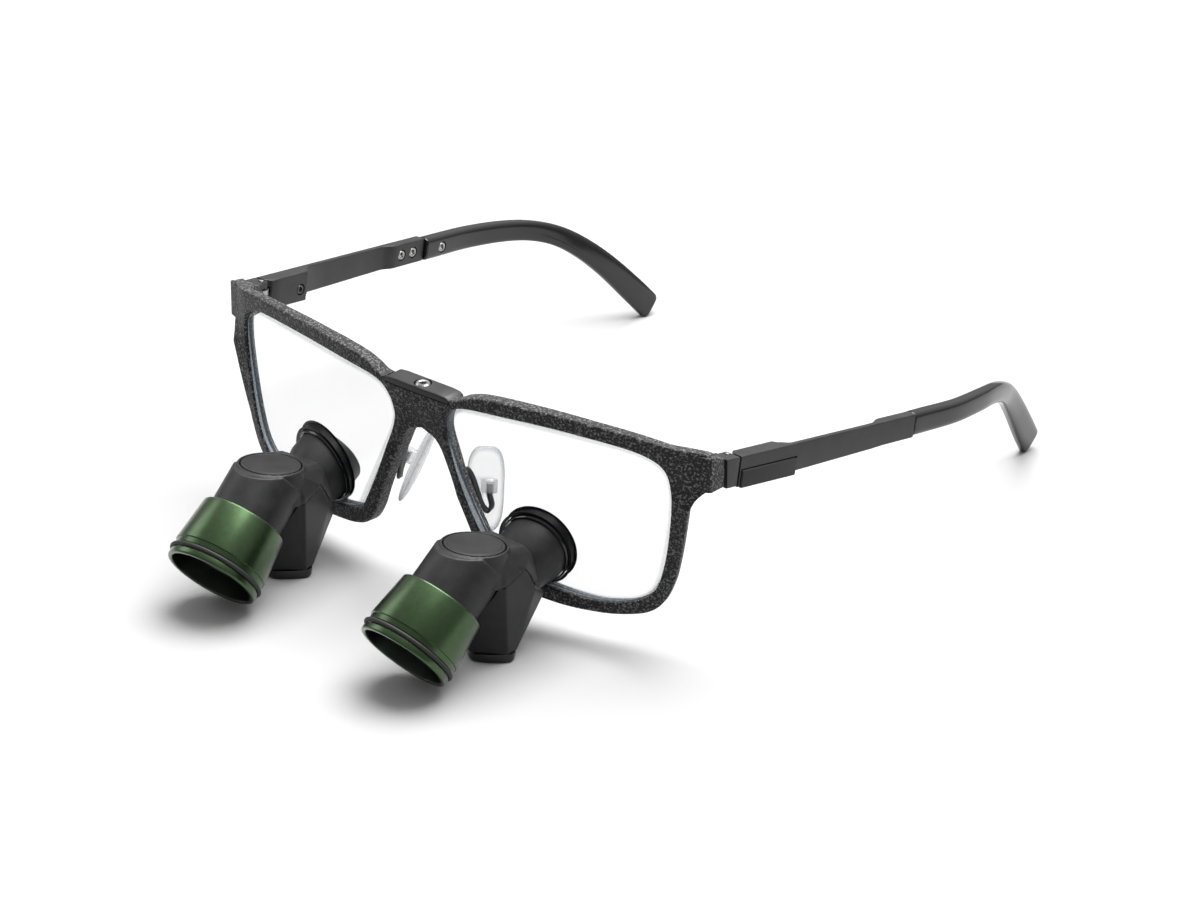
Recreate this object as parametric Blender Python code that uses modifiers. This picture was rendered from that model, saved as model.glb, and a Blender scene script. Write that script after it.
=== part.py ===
"""Dental loupes: a sintered nylon spectacle front with two prism telescopes set through its
carrier lenses, and two folding temples. Sizes are in millimetres; mm() turns them into metres.
+X is the wearer's left, -Y is the way the wearer looks, and Z=0 is the table the loupes lie on."""
import math

import bpy
import bmesh
from mathutils import Euler, Vector

# ---------------------------------------------------------------- driving dimensions
DATUM_Y = -27.84           # the plane between the front and the temples, from the middle of the depth
CLEAR = 0.3                # gap kept between pieces that touch

RIM_DEPTH = 3.4            # front to back, beside the bridge
TEMPORAL_DEPTH = 2.4       # the same at the outer ends
BRIDGE_EXTRA_DEPTH = 1.0
FRONT_CENTRE_Y = -24.3     # front face at the middle, from the datum plane
FRONT_CENTRE_Z = 50.0
FRONT_RADIUS = 173.0       # wrap of the front, seen from above
FRONT_LEAN = 0.065         # how far the front leans back towards its foot, per mm
RIM_CENTRE = (36.0, 34.0)

LENS_THICKNESS = 1.8
LENS_CROWN = 3.4

LOUPE_X = 29.35            # half the distance between the telescopes, at the prism
LOUPE_Y = -39.6
CONVERGENCE = 4.33         # degrees that each telescope turns in towards the working point
OBJECTIVE_PITCH = 38.1
OBJECTIVE_AT = (0.0, -8.45, 17.42)
EYEPIECE_PITCH = 25.0
EYEPIECE_AT = (0.0, 18.1, 19.7)
CAP_TILT = 7.1
CAP_AT = (0.0, 1.12, 27.33)
HOUSING_FOOT = 2.3         # top of the bottom cover
TUBE_RADIUS = 8.2
SLEEVE_LENGTH = 14.7
EYEPIECE_RADIUS = 7.6

HINGE_AT = (67.2, -1.1, 46.6)
TEMPLE_SLOPE = 9.68        # degrees the temples drop towards the back while the loupes lie down
TEMPLE_SPLAY = 2.95
ARM_OUTER = 2.8            # pin axis to the arm's outer face
ARM_INNER = -1.1
ARM_THIN = 1.5             # inner face of the thin middle stretch
BACK_INNER = 0.2
ARM_FRONT = 1.45
ARM_BACK = 58.0
ARM_HEIGHT = 6.9
TURN_STEPS = 32


def mm(*values):
    if len(values) == 1:
        return values[0] * 0.001
    return Vector([value * 0.001 for value in values])


# ---------------------------------------------------------------- scene and helpers
for old in list(bpy.data.objects):
    bpy.data.objects.remove(old, do_unlink=True)

PARTS = bpy.data.collections.new("Dental_Loupes")
CUTTERS = bpy.data.collections.new("Cutters")
bpy.context.scene.collection.children.link(PARTS)
bpy.context.scene.collection.children.link(CUTTERS)


def material(name, colour, roughness, metallic=0.0):
    made = bpy.data.materials.new(name)
    made.use_nodes = True
    shader = made.node_tree.nodes["Principled BSDF"]
    shader.inputs["Base Color"].default_value = (*colour, 1.0)
    shader.inputs["Roughness"].default_value = roughness
    shader.inputs["Metallic"].default_value = metallic
    return made


NYLON = material("sintered_nylon", (0.022, 0.022, 0.024), 0.78)
SATIN_BLACK = material("satin_black", (0.035, 0.035, 0.036), 0.48)
HOUSING_BLACK = material("matte_polymer", (0.028, 0.028, 0.030), 0.6)
GLOSS_BLACK = material("gloss_acetate", (0.006, 0.006, 0.007), 0.12)
RUBBER = material("rubber", (0.02, 0.02, 0.02), 0.7)
GREEN = material("green_anodised", (0.045, 0.13, 0.05), 0.34, 0.9)
STEEL = material("steel", (0.72, 0.72, 0.70), 0.25, 1.0)
GLASS = material("glass", (0.85, 0.9, 0.92), 0.03)
SILICONE = material("clear_silicone", (0.85, 0.88, 0.9), 0.15)


def empty(name, parent, at, turn=(0.0, 0.0, 0.0)):
    made = bpy.data.objects.new(name, None)
    PARTS.objects.link(made)
    made.parent = parent
    made.location = mm(*at)
    made.rotation_euler = [math.radians(angle) for angle in turn]
    return made


def add(name, mesh, look, parent, at=(0.0, 0.0, 0.0), turn=(0.0, 0.0, 0.0)):
    """Link a mesh as a part, or as a cutter when it has no look."""
    made = bpy.data.objects.new(name, mesh)
    made.parent = parent
    made.location = mm(*at)
    made.rotation_euler = [math.radians(angle) for angle in turn]
    if look is None:
        CUTTERS.objects.link(made)
        made.hide_render = True
        made.display_type = 'WIRE'
    else:
        PARTS.objects.link(made)
        mesh.materials.append(look)
    return made


def mesh_from(shape, name, smooth=True):
    mesh = bpy.data.meshes.new(name)
    bmesh.ops.recalc_face_normals(shape, faces=shape.faces)
    shape.to_mesh(mesh)
    shape.free()
    if smooth:
        mesh.shade_smooth()
        mesh.set_sharp_from_angle(angle=math.radians(35.0))
    return mesh


def box(name, look, parent, low, high, bevel=0.0, at=(0.0, 0.0, 0.0), turn=(0.0, 0.0, 0.0)):
    """A block between two corners, with its long edges rounded."""
    shape = bmesh.new()
    bmesh.ops.create_cube(shape, size=1.0)
    for vertex in shape.verts:
        for axis in range(3):
            near, far = sorted((low[axis], high[axis]))
            vertex.co[axis] = mm(near if vertex.co[axis] < 0 else far)
    made = add(name, mesh_from(shape, name, smooth=False), look, parent, at, turn)
    if bevel:
        rounding = made.modifiers.new("Rounded edges", 'BEVEL')
        rounding.width = mm(bevel)
        rounding.segments = 2
    return made


def turned(name, look, parent, profile, at=(0.0, 0.0, 0.0), turn=(0.0, 0.0, 0.0), steps=TURN_STEPS):
    """A profile of (radius, height) points turned about local Z, outer side first, top to bottom."""
    shape = bmesh.new()
    points = [shape.verts.new(mm(radius, 0.0, height)) for radius, height in profile]
    for first, second in zip(points, points[1:]):
        shape.edges.new((first, second))
    if profile[0][0] > 0:
        shape.edges.new((points[-1], points[0]))
    mesh = bpy.data.meshes.new(name)
    shape.to_mesh(mesh)
    shape.free()
    made = add(name, mesh, look, parent, at, turn)
    screw = made.modifiers.new("Turned", 'SCREW')
    screw.steps = steps
    screw.render_steps = steps
    screw.use_merge_vertices = True
    screw.merge_threshold = 0.00001
    screw.use_smooth_shade = True
    return made


def disc(name, look, parent, radius, low, high, at=(0.0, 0.0, 0.0), turn=(0.0, 0.0, 0.0), steps=TURN_STEPS):
    return turned(name, look, parent, [(0.0, high), (radius, high), (radius, low), (0.0, low)], at, turn, steps)


def hull(name, look, parent, points, mirrored=True):
    """The convex solid around points given for x >= 0, with their mirror images."""
    shape = bmesh.new()
    for x, y, z in points:
        shape.verts.new(mm(x, y, z))
        if mirrored and x > 0:
            shape.verts.new(mm(-x, y, z))
    found = bmesh.ops.convex_hull(shape, input=shape.verts)
    loose = [item for item in found["geom_interior"] if isinstance(item, bmesh.types.BMVert)]
    bmesh.ops.delete(shape, geom=loose, context='VERTS')
    bmesh.ops.dissolve_limit(shape, angle_limit=math.radians(1.0), verts=shape.verts, edges=shape.edges)
    return add(name, mesh_from(shape, name, smooth=False), look, parent)


def loft(name, look, parent, sections):
    """A skin through closed sections of equal point count, with flat ends."""
    shape = bmesh.new()
    rings = [[shape.verts.new(mm(*point)) for point in section] for section in sections]
    for first, second in zip(rings, rings[1:]):
        for index in range(len(first)):
            after = (index + 1) % len(first)
            shape.faces.new((first[index], first[after], second[after], second[index]))
    shape.faces.new(rings[0])
    shape.faces.new(rings[-1])
    return add(name, mesh_from(shape, name), look, parent)


def boolean(target, tool, operation='DIFFERENCE'):
    step = target.modifiers.new(tool.name, 'BOOLEAN')
    step.operation = operation
    step.object = tool
    step.solver = 'EXACT'


def smooth_path(points, closed, pieces=6):
    """Points along a Catmull-Rom curve through 2-D points."""
    count = len(points)
    spans = count if closed else count - 1
    path = []
    for span in range(spans):
        ends = [(span + offset) % count if closed else min(max(span + offset, 0), count - 1)
                for offset in (-1, 0, 1, 2)]
        p0, p1, p2, p3 = (Vector(points[index]) for index in ends)
        for piece in range(pieces):
            t = piece / pieces
            path.append(0.5 * (2 * p1 + (p2 - p0) * t + (2 * p0 - 5 * p1 + 4 * p2 - p3) * t ** 2
                               + (3 * p1 - p0 - 3 * p2 + p3) * t ** 3))
    if not closed:
        path.append(Vector(points[-1]))
    return path


def ray_length(centre, angle, outline):
    """Distance from the centre to a closed outline, along one direction."""
    way = Vector((math.cos(angle), math.sin(angle)))
    lengths = []
    for first, second in zip(outline, outline[1:] + outline[:1]):
        side = second - first
        cross = way.x * side.y - way.y * side.x
        if abs(cross) < 1e-9:
            continue
        start = first - centre
        along = (start.x * side.y - start.y * side.x) / cross
        part = (start.x * way.y - start.y * way.x) / cross
        if along > 0 and -1e-6 <= part <= 1 + 1e-6:
            lengths.append(along)
    return min(lengths)


datum = empty("datum", None, (0.0, DATUM_Y, 0.0))


# ---------------------------------------------------------------- spectacle front
LENS_OPENING = [
    (7.2, 42.0), (8.6, 45.7), (12.3, 48.0), (21.0, 48.9), (35.0, 49.4), (49.0, 48.7), (56.3, 47.4),
    (60.2, 44.8), (61.4, 40.0), (61.1, 33.0), (59.6, 23.0), (57.4, 16.0), (53.6, 12.3), (47.0, 10.3),
    (41.0, 9.9), (32.5, 10.6), (24.0, 12.0), (20.0, 13.4), (17.9, 16.1), (13.7, 24.2), (9.8, 32.8),
    (7.6, 38.5)]
HALF_FRONT = [
    (0.0, 48.6), (9.8, 49.2), (13.3, 50.7), (17.5, 51.9), (24.0, 52.5), (35.0, 52.8), (45.0, 52.4),
    (53.0, 51.8), (60.0, 50.8), (66.0, 49.7), (68.5, 49.0), (69.3, 47.6), (69.2, 43.6), (68.6, 41.4),
    (67.3, 39.9), (66.2, 38.0), (65.3, 34.0), (64.2, 28.6), (62.8, 22.8), (61.2, 17.6), (58.9, 12.8),
    (55.2, 9.6), (48.5, 7.7), (41.8, 7.0), (35.5, 6.9), (28.5, 7.5), (22.0, 8.6), (17.8, 10.5),
    (14.9, 14.4), (12.4, 20.2), (9.2, 27.4), (6.7, 32.8), (5.0, 36.4), (3.0, 38.4), (0.0, 38.95)]
CREASE_Z = 45.3
CREASE_HALF_WIDTH = 10.0
GROOVE_FRONT = 0.9
GROOVE_BACK = 1.9
STATIONS = 60

opening_path = smooth_path(LENS_OPENING, closed=True)
outer_path = smooth_path(HALF_FRONT, closed=False)


def front_y(x, z):
    """The front face of the spectacle front, from the datum plane."""
    wrap = x * x / (2 * FRONT_RADIUS)
    lean = -FRONT_LEAN * (z - FRONT_CENTRE_Z)
    below_crease = max(0.0, CREASE_Z - z) * max(0.0, 1.0 - abs(x) / CREASE_HALF_WIDTH)
    end_piece = max(-1.0, min(1.0, (z - 39.0) / 2.5))
    swept_back = 0.33 * max(0.0, abs(x) - 61.8) * end_piece
    return FRONT_CENTRE_Y + wrap + lean + 0.22 * below_crease + swept_back


def front_depth(x):
    thinning = max(0.0, min(1.0, (x - 25.0) / 35.0))
    bridge = BRIDGE_EXTRA_DEPTH * math.exp(-(x / 9.0) ** 2)
    return RIM_DEPTH + (TEMPORAL_DEPTH - RIM_DEPTH) * thinning + bridge


def front_point(p, depth):
    """A point the depth behind the front face, measured square to the wrap."""
    angle = p.x / FRONT_RADIUS
    return mm(p.x - depth * math.sin(angle), front_y(p.x, p.y) + depth * math.cos(angle), p.y)


def spectacle_front():
    centre = Vector(RIM_CENTRE)
    corners = [outer_path[0] - centre, outer_path[-1] - centre]
    angles = [math.atan2(corner.y, corner.x) for corner in corners]
    angles += [math.tau * step / STATIONS - math.pi for step in range(STATIONS)]
    angles.sort()
    shape = bmesh.new()
    rings = []
    for angle in angles:
        way = Vector((math.cos(angle), math.sin(angle)))
        inner = centre + way * ray_length(centre, angle, opening_path)
        outer = centre + way * ray_length(centre, angle, outer_path)
        on_middle = outer.x < 0.01
        outer.x = max(outer.x, 0.0)
        inset = Vector((0.0, 0.0)) if on_middle else way * 0.5
        back = front_depth(outer.x)
        back_inner = front_depth(inner.x)
        layers = [(outer, back - 0.5), (outer, 0.5), (outer - inset, 0.0), (inner + way * 0.4, 0.0),
                  (inner, 0.4), (inner, GROOVE_FRONT), (inner + way * 0.8, 1.4), (inner, GROOVE_BACK),
                  (inner, back_inner - 0.4), (inner + way * 0.4, back_inner), (outer - inset, back)]
        ring = [shape.verts.new(front_point(p, depth)) for p, depth in layers]
        rings.append((ring, on_middle))
    for (first, first_middle), (second, second_middle) in zip(rings, rings[1:] + rings[:1]):
        for layer in range(len(first)):
            after = (layer + 1) % len(first)
            outer_wall = layer in (0, 1, len(first) - 1)
            if outer_wall and first_middle and second_middle:
                continue
            shape.faces.new((first[layer], first[after], second[after], second[layer]))
    made = add("frame_front", mesh_from(shape, "frame_front"), NYLON, datum)
    mirror = made.modifiers.new("Other half", 'MIRROR')
    mirror.merge_threshold = 0.00001
    for side in (1, -1):
        end_piece = box("end_piece", None, datum, (side * 64.4, -9.2, 40.7), (side * 69.3, -4.6, 47.6), 0.6)
        boolean(made, end_piece, 'UNION')
    pocket = box("plate_pocket", None, datum, (-9.4, -24.6, 48.0), (9.4, -18.0, 53.0))
    boolean(made, pocket)
    screw_hole = disc("bridge_screw_hole", None, datum, 1.1, 43.5, 49.0, (0.0, -21.7, 0.0), steps=16)
    boolean(made, screw_hole)


def bridge_plate():
    sections = []
    for x in (-9.2, -8.0, -6.0, -3.0, 0.0, 3.0, 6.0, 8.0, 9.2):
        front = front_y(x, 50.0) + 0.1
        top = 49.7 + 0.5 * max(0.0, (abs(x) - 6.0) / 3.2)
        low = 48.3
        sections.append([(x, front, low), (x, front, top - 0.35), (x, front + 0.35, top),
                         (x, -19.4, top), (x, -19.1, top - 0.3), (x, -19.1, low)])
    plate = loft("bridge_plate", SATIN_BLACK, datum, sections)
    hole = disc("plate_screw_hole", None, datum, 1.95, 48.0, 51.0, (0.0, -21.7, 0.0), steps=24)
    boolean(plate, hole)
    turned("bridge_screw", STEEL, datum,
           [(0.0, 49.2), (0.75, 49.2), (0.8, 49.85), (1.35, 49.85), (1.65, 49.55), (1.65, 48.6),
            (0.8, 48.6), (0.8, 44.0), (0.0, 44.0)], (0.0, -21.7, 0.0), steps=24)


spectacle_front()
bridge_plate()


# ---------------------------------------------------------------- carrier lenses
HOLE_RADIUS = 8.35
COLLAR_OUTER = 8.15
COLLAR_INNER = 7.78
EYEPIECE_TURN = Euler((math.radians(EYEPIECE_PITCH), 0.0, math.radians(-CONVERGENCE))).to_matrix()
EYEPIECE_AXIS = EYEPIECE_TURN @ Vector((0.0, 1.0, 0.0))
LOUPE_TURN = Euler((0.0, 0.0, math.radians(-CONVERGENCE))).to_matrix()
EYEPIECE_CENTRE = Vector((LOUPE_X, LOUPE_Y, 0.0)) + LOUPE_TURN @ Vector(EYEPIECE_AT)


def lens_y(x, z):
    """The front face of a carrier lens, whose crown stands forward of its groove."""
    crown = (1 - ((x - 34.0) / 28.5) ** 2) * (1 - ((z - 30.0) / 22.0) ** 2)
    return front_y(x, z) + 1.0 - LENS_CROWN * max(0.0, crown)


def around_eyepiece(angle, radius, depth):
    """Where a line along the eyepiece, at a radius from its axis, meets the lens's front face or
    a surface a depth behind it."""
    offset = EYEPIECE_TURN @ Vector((math.cos(angle), 0.0, math.sin(angle)))
    point = EYEPIECE_CENTRE + offset * radius
    for _ in range(8):
        point += EYEPIECE_AXIS * ((lens_y(point.x, point.z) + depth - point.y) / EYEPIECE_AXIS.y)
    return point


def ring_of_sections(name, look, sections, side):
    """A closed skin around sections that each run round the material once."""
    shape = bmesh.new()
    rings = [[shape.verts.new(mm(side * x, y, z)) for x, y, z in section] for section in sections]
    for first, second in zip(rings, rings[1:] + rings[:1]):
        for layer in range(len(first)):
            after = (layer + 1) % len(first)
            shape.faces.new((first[layer], first[after], second[after], second[layer]))
    add(name, mesh_from(shape, name), look, datum)


def carrier_lens(name, side):
    centre = Vector((EYEPIECE_CENTRE.x, EYEPIECE_CENTRE.z))
    sections = []
    for step in range(40):
        angle = math.tau * step / 40
        way = Vector((math.cos(angle), math.sin(angle)))
        edge = ray_length(centre, angle, opening_path)
        inside = centre + way * (edge - 0.7)
        section = []
        for depth, order in ((0.0, (0.0, 0.2, 0.6, 1.0)), (LENS_THICKNESS, (1.0, 0.6, 0.2, 0.0))):
            hole = around_eyepiece(angle, HOLE_RADIUS, depth).xz
            for fraction in order:
                p = hole.lerp(inside, fraction)
                section.append((p.x, lens_y(p.x, p.y) + depth, p.y))
            if depth == 0.0:
                for reach, groove_depth in ((-0.35, 1.0), (0.45, 1.4), (-0.35, 1.8)):
                    section.append(front_point(centre + way * (edge + reach), groove_depth) * 1000)
        sections.append(section)
    ring_of_sections(name, GLASS, sections, side)


def eyepiece_collar(name, side):
    """The black bonding ring between the tube and the edge of the hole in the lens."""
    corners = ((COLLAR_OUTER, 0.0), (COLLAR_OUTER - 0.12, -0.4), (COLLAR_INNER, -0.4), (COLLAR_INNER, 2.2),
               (COLLAR_OUTER, 2.2))
    sections = [[around_eyepiece(math.tau * step / 40, radius, depth) for radius, depth in corners]
                for step in range(40)]
    ring_of_sections(name, GLOSS_BLACK, sections, side)


# ---------------------------------------------------------------- prism telescopes
LOWER_BODY = [
    (0.0, -0.4, HOUSING_FOOT), (6.4, 4.4, HOUSING_FOOT), (6.0, 7.4, HOUSING_FOOT), (3.5, 8.7, HOUSING_FOOT),
    (0.0, -4.3, 19.6), (8.5, 2.1, 19.6), (8.0, 8.3, 21.6), (7.5, 11.7, 15.4),
    (5.5, 16.2, 12.4), (0.0, 16.8, 12.2)]
UPPER_BODY = [
    (7.0, 1.0, 26.9), (5.3, 5.6, 26.7), (5.0, 11.0, 25.2), (6.0, 11.9, 23.7), (8.0, 8.3, 21.7),
    (8.5, 2.1, 21.0), (8.5, 2.1, 19.9), (7.6, -1.2, 19.9), (7.5, 11.7, 15.4), (7.4, 12.6, 17.0),
    (5.0, 13.2, 21.0)]
PRISM_CORE = [
    (0.0, 2.4, 4.2), (4.4, 5.0, 4.2), (4.2, 6.8, 4.2), (0.0, 0.4, 19.0), (6.6, 2.6, 19.5), (6.4, 9.0, 19.5),
    (5.6, 2.4, 24.4), (4.4, 7.0, 24.2), (0.0, 10.2, 12.0), (5.0, 9.6, 13.0)]


def grown(points, amount, middle=(0.0, 5.5, 14.0)):
    """The same corner points moved away from the middle, each way by up to the amount."""
    moved = []
    for point in points:
        away = Vector(point) - Vector(middle)
        moved.append(tuple(Vector(middle) + away * (1 + amount / away.length)))
    return moved


def telescope(side_name, side):
    loupe = empty("loupe_" + side_name, datum, (side * LOUPE_X, LOUPE_Y, 0.0), (0.0, 0.0, -side * CONVERGENCE))
    objective = empty("objective_axis_" + side_name, loupe, OBJECTIVE_AT, (90.0 + OBJECTIVE_PITCH, 0.0, 0.0))
    eyepiece = empty("eyepiece_axis_" + side_name, loupe, EYEPIECE_AT, (EYEPIECE_PITCH - 90.0, 0.0, 0.0))
    cap_face = empty("cap_face_" + side_name, loupe, CAP_AT, (-CAP_TILT, 0.0, 0.0))

    # objective sleeve, its ring, and the lens behind the threaded retaining ring
    turned("objective_sleeve_" + side_name, GREEN, objective,
           [(9.55, SLEEVE_LENGTH), (10.4, SLEEVE_LENGTH), (10.6, SLEEVE_LENGTH - 0.3), (10.6, 13.2), (9.7, 13.2),
            (9.7, 11.9), (10.5, 11.9), (10.5, 10.6), (10.8, 10.6), (9.75, 0.3), (9.5, 0.0), (8.6, 0.0),
            (8.6, 4.6), (7.7, 4.6), (7.7, 5.2), (9.3, 5.2), (9.3, 9.6), (9.55, 9.9)], steps=40)
    ring_middle = 12.55
    turned("o_ring_" + side_name, RUBBER, objective,
           [(10.6 + 0.5 * math.cos(math.tau * step / 6), ring_middle + 0.5 * math.sin(math.tau * step / 6))
            for step in (2, 1, 0, 5, 4, 3)], steps=40)
    turned("retaining_ring_" + side_name, SATIN_BLACK, objective,
           [(7.8, 9.6), (9.1, 9.6), (9.1, 8.5), (8.1, 8.5), (7.6, 9.0)])
    turned("objective_lens_" + side_name, GLASS, objective,
           [(0.0, 8.2), (3.5, 8.05), (6.0, 7.75), (9.0, 7.0), (9.0, 5.5), (0.0, 5.5)])

    # upper housing: front tube, drum under the cap and the faceted box over the prism
    tube = turned("prism_housing_" + side_name, HOUSING_BLACK, objective,
                  [(0.0, 4.3), (TUBE_RADIUS - 0.3, 4.3), (TUBE_RADIUS, 4.0), (TUBE_RADIUS, -10.5), (0.0, -10.5)])
    drum = turned("cap_drum", None, cap_face,
                  [(0.0, 0.0), (7.2, 0.0), (7.5, -0.3), (8.3, -7.6), (0.0, -7.6)])
    upper = hull("upper_box", None, loupe, UPPER_BODY)
    boolean(tube, box("above_cap", None, cap_face, (-12.0, -16.0, -0.35), (12.0, 14.2, 12.0)))
    boolean(tube, drum, 'UNION')
    boolean(tube, upper, 'UNION')
    boolean(tube, disc("cap_seat", None, cap_face, 6.85, -1.2, 2.0, turn=(0.0, 0.0, 4.0)))
    lower_room = hull("lower_room", None, loupe, grown(LOWER_BODY, 0.3))
    boolean(tube, lower_room)
    core_room = hull("core_room", None, loupe, grown(PRISM_CORE, 0.45))
    boolean(tube, core_room)
    boolean(tube, disc("objective_bore", None, objective, 6.4, -9.0, 6.0, steps=32))
    eye_room = turned("eyepiece_room", None, eyepiece,
                      [(0.0, 3.0), (EYEPIECE_RADIUS + 0.3, 3.0), (EYEPIECE_RADIUS + 0.3, 0.0), (6.6, -7.0),
                       (5.0, -7.0), (5.0, -12.0), (0.0, -12.0)])
    boolean(tube, eye_room)
    turned("top_cap_" + side_name, HOUSING_BLACK, cap_face,
           [(0.0, 0.0), (6.4, 0.0), (6.6, -0.2), (6.6, -1.0), (0.0, -1.0)])

    # lower housing, cut to the tube above it, with the prism and the bottom cover
    lower = hull("lower_housing_" + side_name, HOUSING_BLACK, loupe, LOWER_BODY)
    tube_room = disc("tube_room", None, objective, TUBE_RADIUS + 0.3, -13.0, 6.0)
    boolean(lower, tube_room)
    boolean(lower, turned("drum_room", None, cap_face,
                          [(0.0, 1.0), (7.8, 0.0), (8.6, -7.9), (0.0, -7.9)]))
    boolean(lower, core_room)
    boolean(lower, eye_room)
    hull("prism_" + side_name, GLASS, loupe, PRISM_CORE)
    foot = [(x * 0.97, 0.3 + y * 0.95) for x, y, z in LOWER_BODY[:4]]
    outline = foot + [(-x, y) for x, y in reversed(foot[1:])]
    small = [(x * 0.93, 0.35 + y * 0.93) for x, y in outline]
    loft("bottom_cover_" + side_name, GLOSS_BLACK, loupe,
         [[(x, y, 0.0) for x, y in small], [(x, y, 0.5) for x, y in outline],
          [(x, y, HOUSING_FOOT - CLEAR) for x, y in outline]])

    # eyepiece, from the prism through the carrier lens
    turned("eyepiece_tube_" + side_name, HOUSING_BLACK, eyepiece,
           [(6.6, 4.6), (7.2, 4.6), (EYEPIECE_RADIUS, 4.2), (EYEPIECE_RADIUS, -0.5), (6.25, -6.6), (5.0, -6.6),
            (5.0, 1.6), (6.6, 1.6)])
    turned("eyepiece_lens_" + side_name, GLASS, eyepiece,
           [(0.0, 3.9), (3.5, 3.7), (6.3, 3.0), (6.3, 2.0), (0.0, 2.0)], steps=32)


for side_name, side in (("left", 1), ("right", -1)):
    carrier_lens("carrier_lens_" + side_name, side)
    eyepiece_collar("eyepiece_collar_" + side_name, side)
    telescope(side_name, side)


# ---------------------------------------------------------------- nose pads
PAD_PIVOT = (12.0, -14.0, 26.2)
PAD_TURN = (-12.0, -22.0, -26.0)
PAD_SIZE = (3.1, 10.4, 22.0)
PAD_OFFSET = 2.9
PAD_DROP = -0.8
WIRE_RADIUS = 0.6
WIRE_START = (8.9, -19.9, 30.6)
WIRE_ROUTE = [WIRE_START, (8.95, -17.9, 30.5), (9.8, -17.1, 28.6), (11.2, -17.0, 25.2), (12.0, -16.5, 22.4),
              (12.8, -15.7, 21.2), (13.2, -14.8, 22.2)]


def nose_pad(side_name, side):
    turn = (PAD_TURN[0], side * PAD_TURN[1], side * PAD_TURN[2])
    pivot = empty("nose_pad_pivot_" + side_name, datum, (side * PAD_PIVOT[0], *PAD_PIVOT[1:]), turn)
    shape = bmesh.new()
    bmesh.ops.create_cube(shape, size=1.0)
    for vertex in shape.verts:
        vertex.co.x = mm(vertex.co.x * PAD_SIZE[0] - side * PAD_OFFSET)
        vertex.co.y = mm(vertex.co.y * PAD_SIZE[1])
        vertex.co.z = mm(vertex.co.z * PAD_SIZE[2] + PAD_DROP)
    pad = add("nose_pad_" + side_name, mesh_from(shape, "nose_pad"), SILICONE, pivot)
    soften = pad.modifiers.new("Soft form", 'SUBSURF')
    soften.levels = 2
    soften.render_levels = 2
    boolean(pad, box("boss", None, pivot, (side * -2.4, -1.4, -1.6), (side * 1.4, 1.4, 1.6), 0.3), 'UNION')
    boolean(pad, disc("boss_bore", None, pivot, WIRE_RADIUS + 0.3, -3.0, 0.9, steps=16))

    route = bpy.data.curves.new("nose_pad_arm_" + side_name, 'CURVE')
    route.dimensions = '3D'
    route.bevel_depth = mm(WIRE_RADIUS)
    route.bevel_resolution = 2
    route.use_fill_caps = True
    bore_axis = Euler([math.radians(angle) for angle in PAD_TURN]).to_matrix() @ Vector((0.0, 0.0, 1.0))
    bore = [Vector(PAD_PIVOT) + bore_axis * reach for reach in (-1.9, 0.4)]
    points = smooth_path(WIRE_ROUTE + bore[:1], closed=False, pieces=2) + bore[1:]
    line = route.splines.new('POLY')
    line.points.add(len(points) - 1)
    for point, (x, y, z) in zip(line.points, points):
        point.co = (*mm(side * x, y, z), 1.0)
    mesh_source = bpy.data.objects.new("wire", route)
    mesh = bpy.data.meshes.new_from_object(mesh_source)
    bpy.data.objects.remove(mesh_source)
    shape = bmesh.new()
    shape.from_mesh(mesh)
    bmesh.ops.remove_doubles(shape, verts=shape.verts, dist=0.00001)
    add("nose_pad_arm_" + side_name, mesh_from(shape, "nose_pad_arm"), GLOSS_BLACK, datum)
    x, y, z = WIRE_START
    boolean(PARTS.objects["frame_front"],
            disc("wire_hole", None, datum, WIRE_RADIUS + 0.2, -2.0, 4.0, (side * x, y, z), (-90.0, 0.0, 0.0), 12))


for side_name, side in (("left", 1), ("right", -1)):
    nose_pad(side_name, side)


# ---------------------------------------------------------------- hinges and temples
SCREW_HEAD = 1.15
BLOCK_SCREW = (12.9, -4.0)
CORE_SCREWS = (("core_screw_front_", 50.3), ("core_screw_rear_", 54.4))
CORE_LEVEL = -2.75
TIP_SCREW_AT = 63.7
TIP_INNER = -0.95
TIP_PATH = [
    # across, along, up, thickness, height, slope in degrees
    (0.95, 58.4, -2.7, 3.6, 5.3, 0.0), (0.9, 62.0, -2.65, 3.7, 5.3, 0.0), (0.6, 74.0, -2.5, 3.6, 5.1, 0.0),
    (-1.4, 85.0, -2.4, 3.5, 4.9, 3.0), (-3.9, 93.0, -2.9, 3.3, 4.8, 12.0), (-6.6, 99.8, -4.6, 3.2, 4.9, 24.0),
    (-9.5, 106.0, -7.8, 3.1, 5.2, 34.0), (-12.4, 113.0, -12.8, 3.0, 5.7, 37.0),
    (-15.2, 120.8, -19.4, 2.9, 6.3, 38.0), (-16.7, 125.5, -23.47, 2.7, 6.3, 38.0),
    (-17.0, 126.2, -24.07, 1.9, 5.0, 38.0)]


def block_section(along, inner, outer, low, side, edge=0.35):
    """An upright rectangle across the temple with its corners taken off."""
    points = [(inner + edge, low), (outer - edge, low), (outer, low + edge), (outer, -edge),
              (outer - edge, 0.0), (inner + edge, 0.0), (inner, -edge), (inner, low + edge)]
    return [(side * across, along, up) for across, up in points]


def oval_section(centre, thickness, height, slope, side):
    across, along, up = centre
    lean = math.radians(slope)
    ring = []
    for step in range(12):
        angle = math.tau * (step + 0.5) / 12
        sway = math.copysign(abs(math.cos(angle)) ** 0.6, math.cos(angle)) * thickness / 2
        rise = math.copysign(abs(math.sin(angle)) ** 0.6, math.sin(angle)) * height / 2
        ring.append((side * (across + sway), along + rise * math.sin(lean), up + rise * math.cos(lean)))
    return ring


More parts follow.
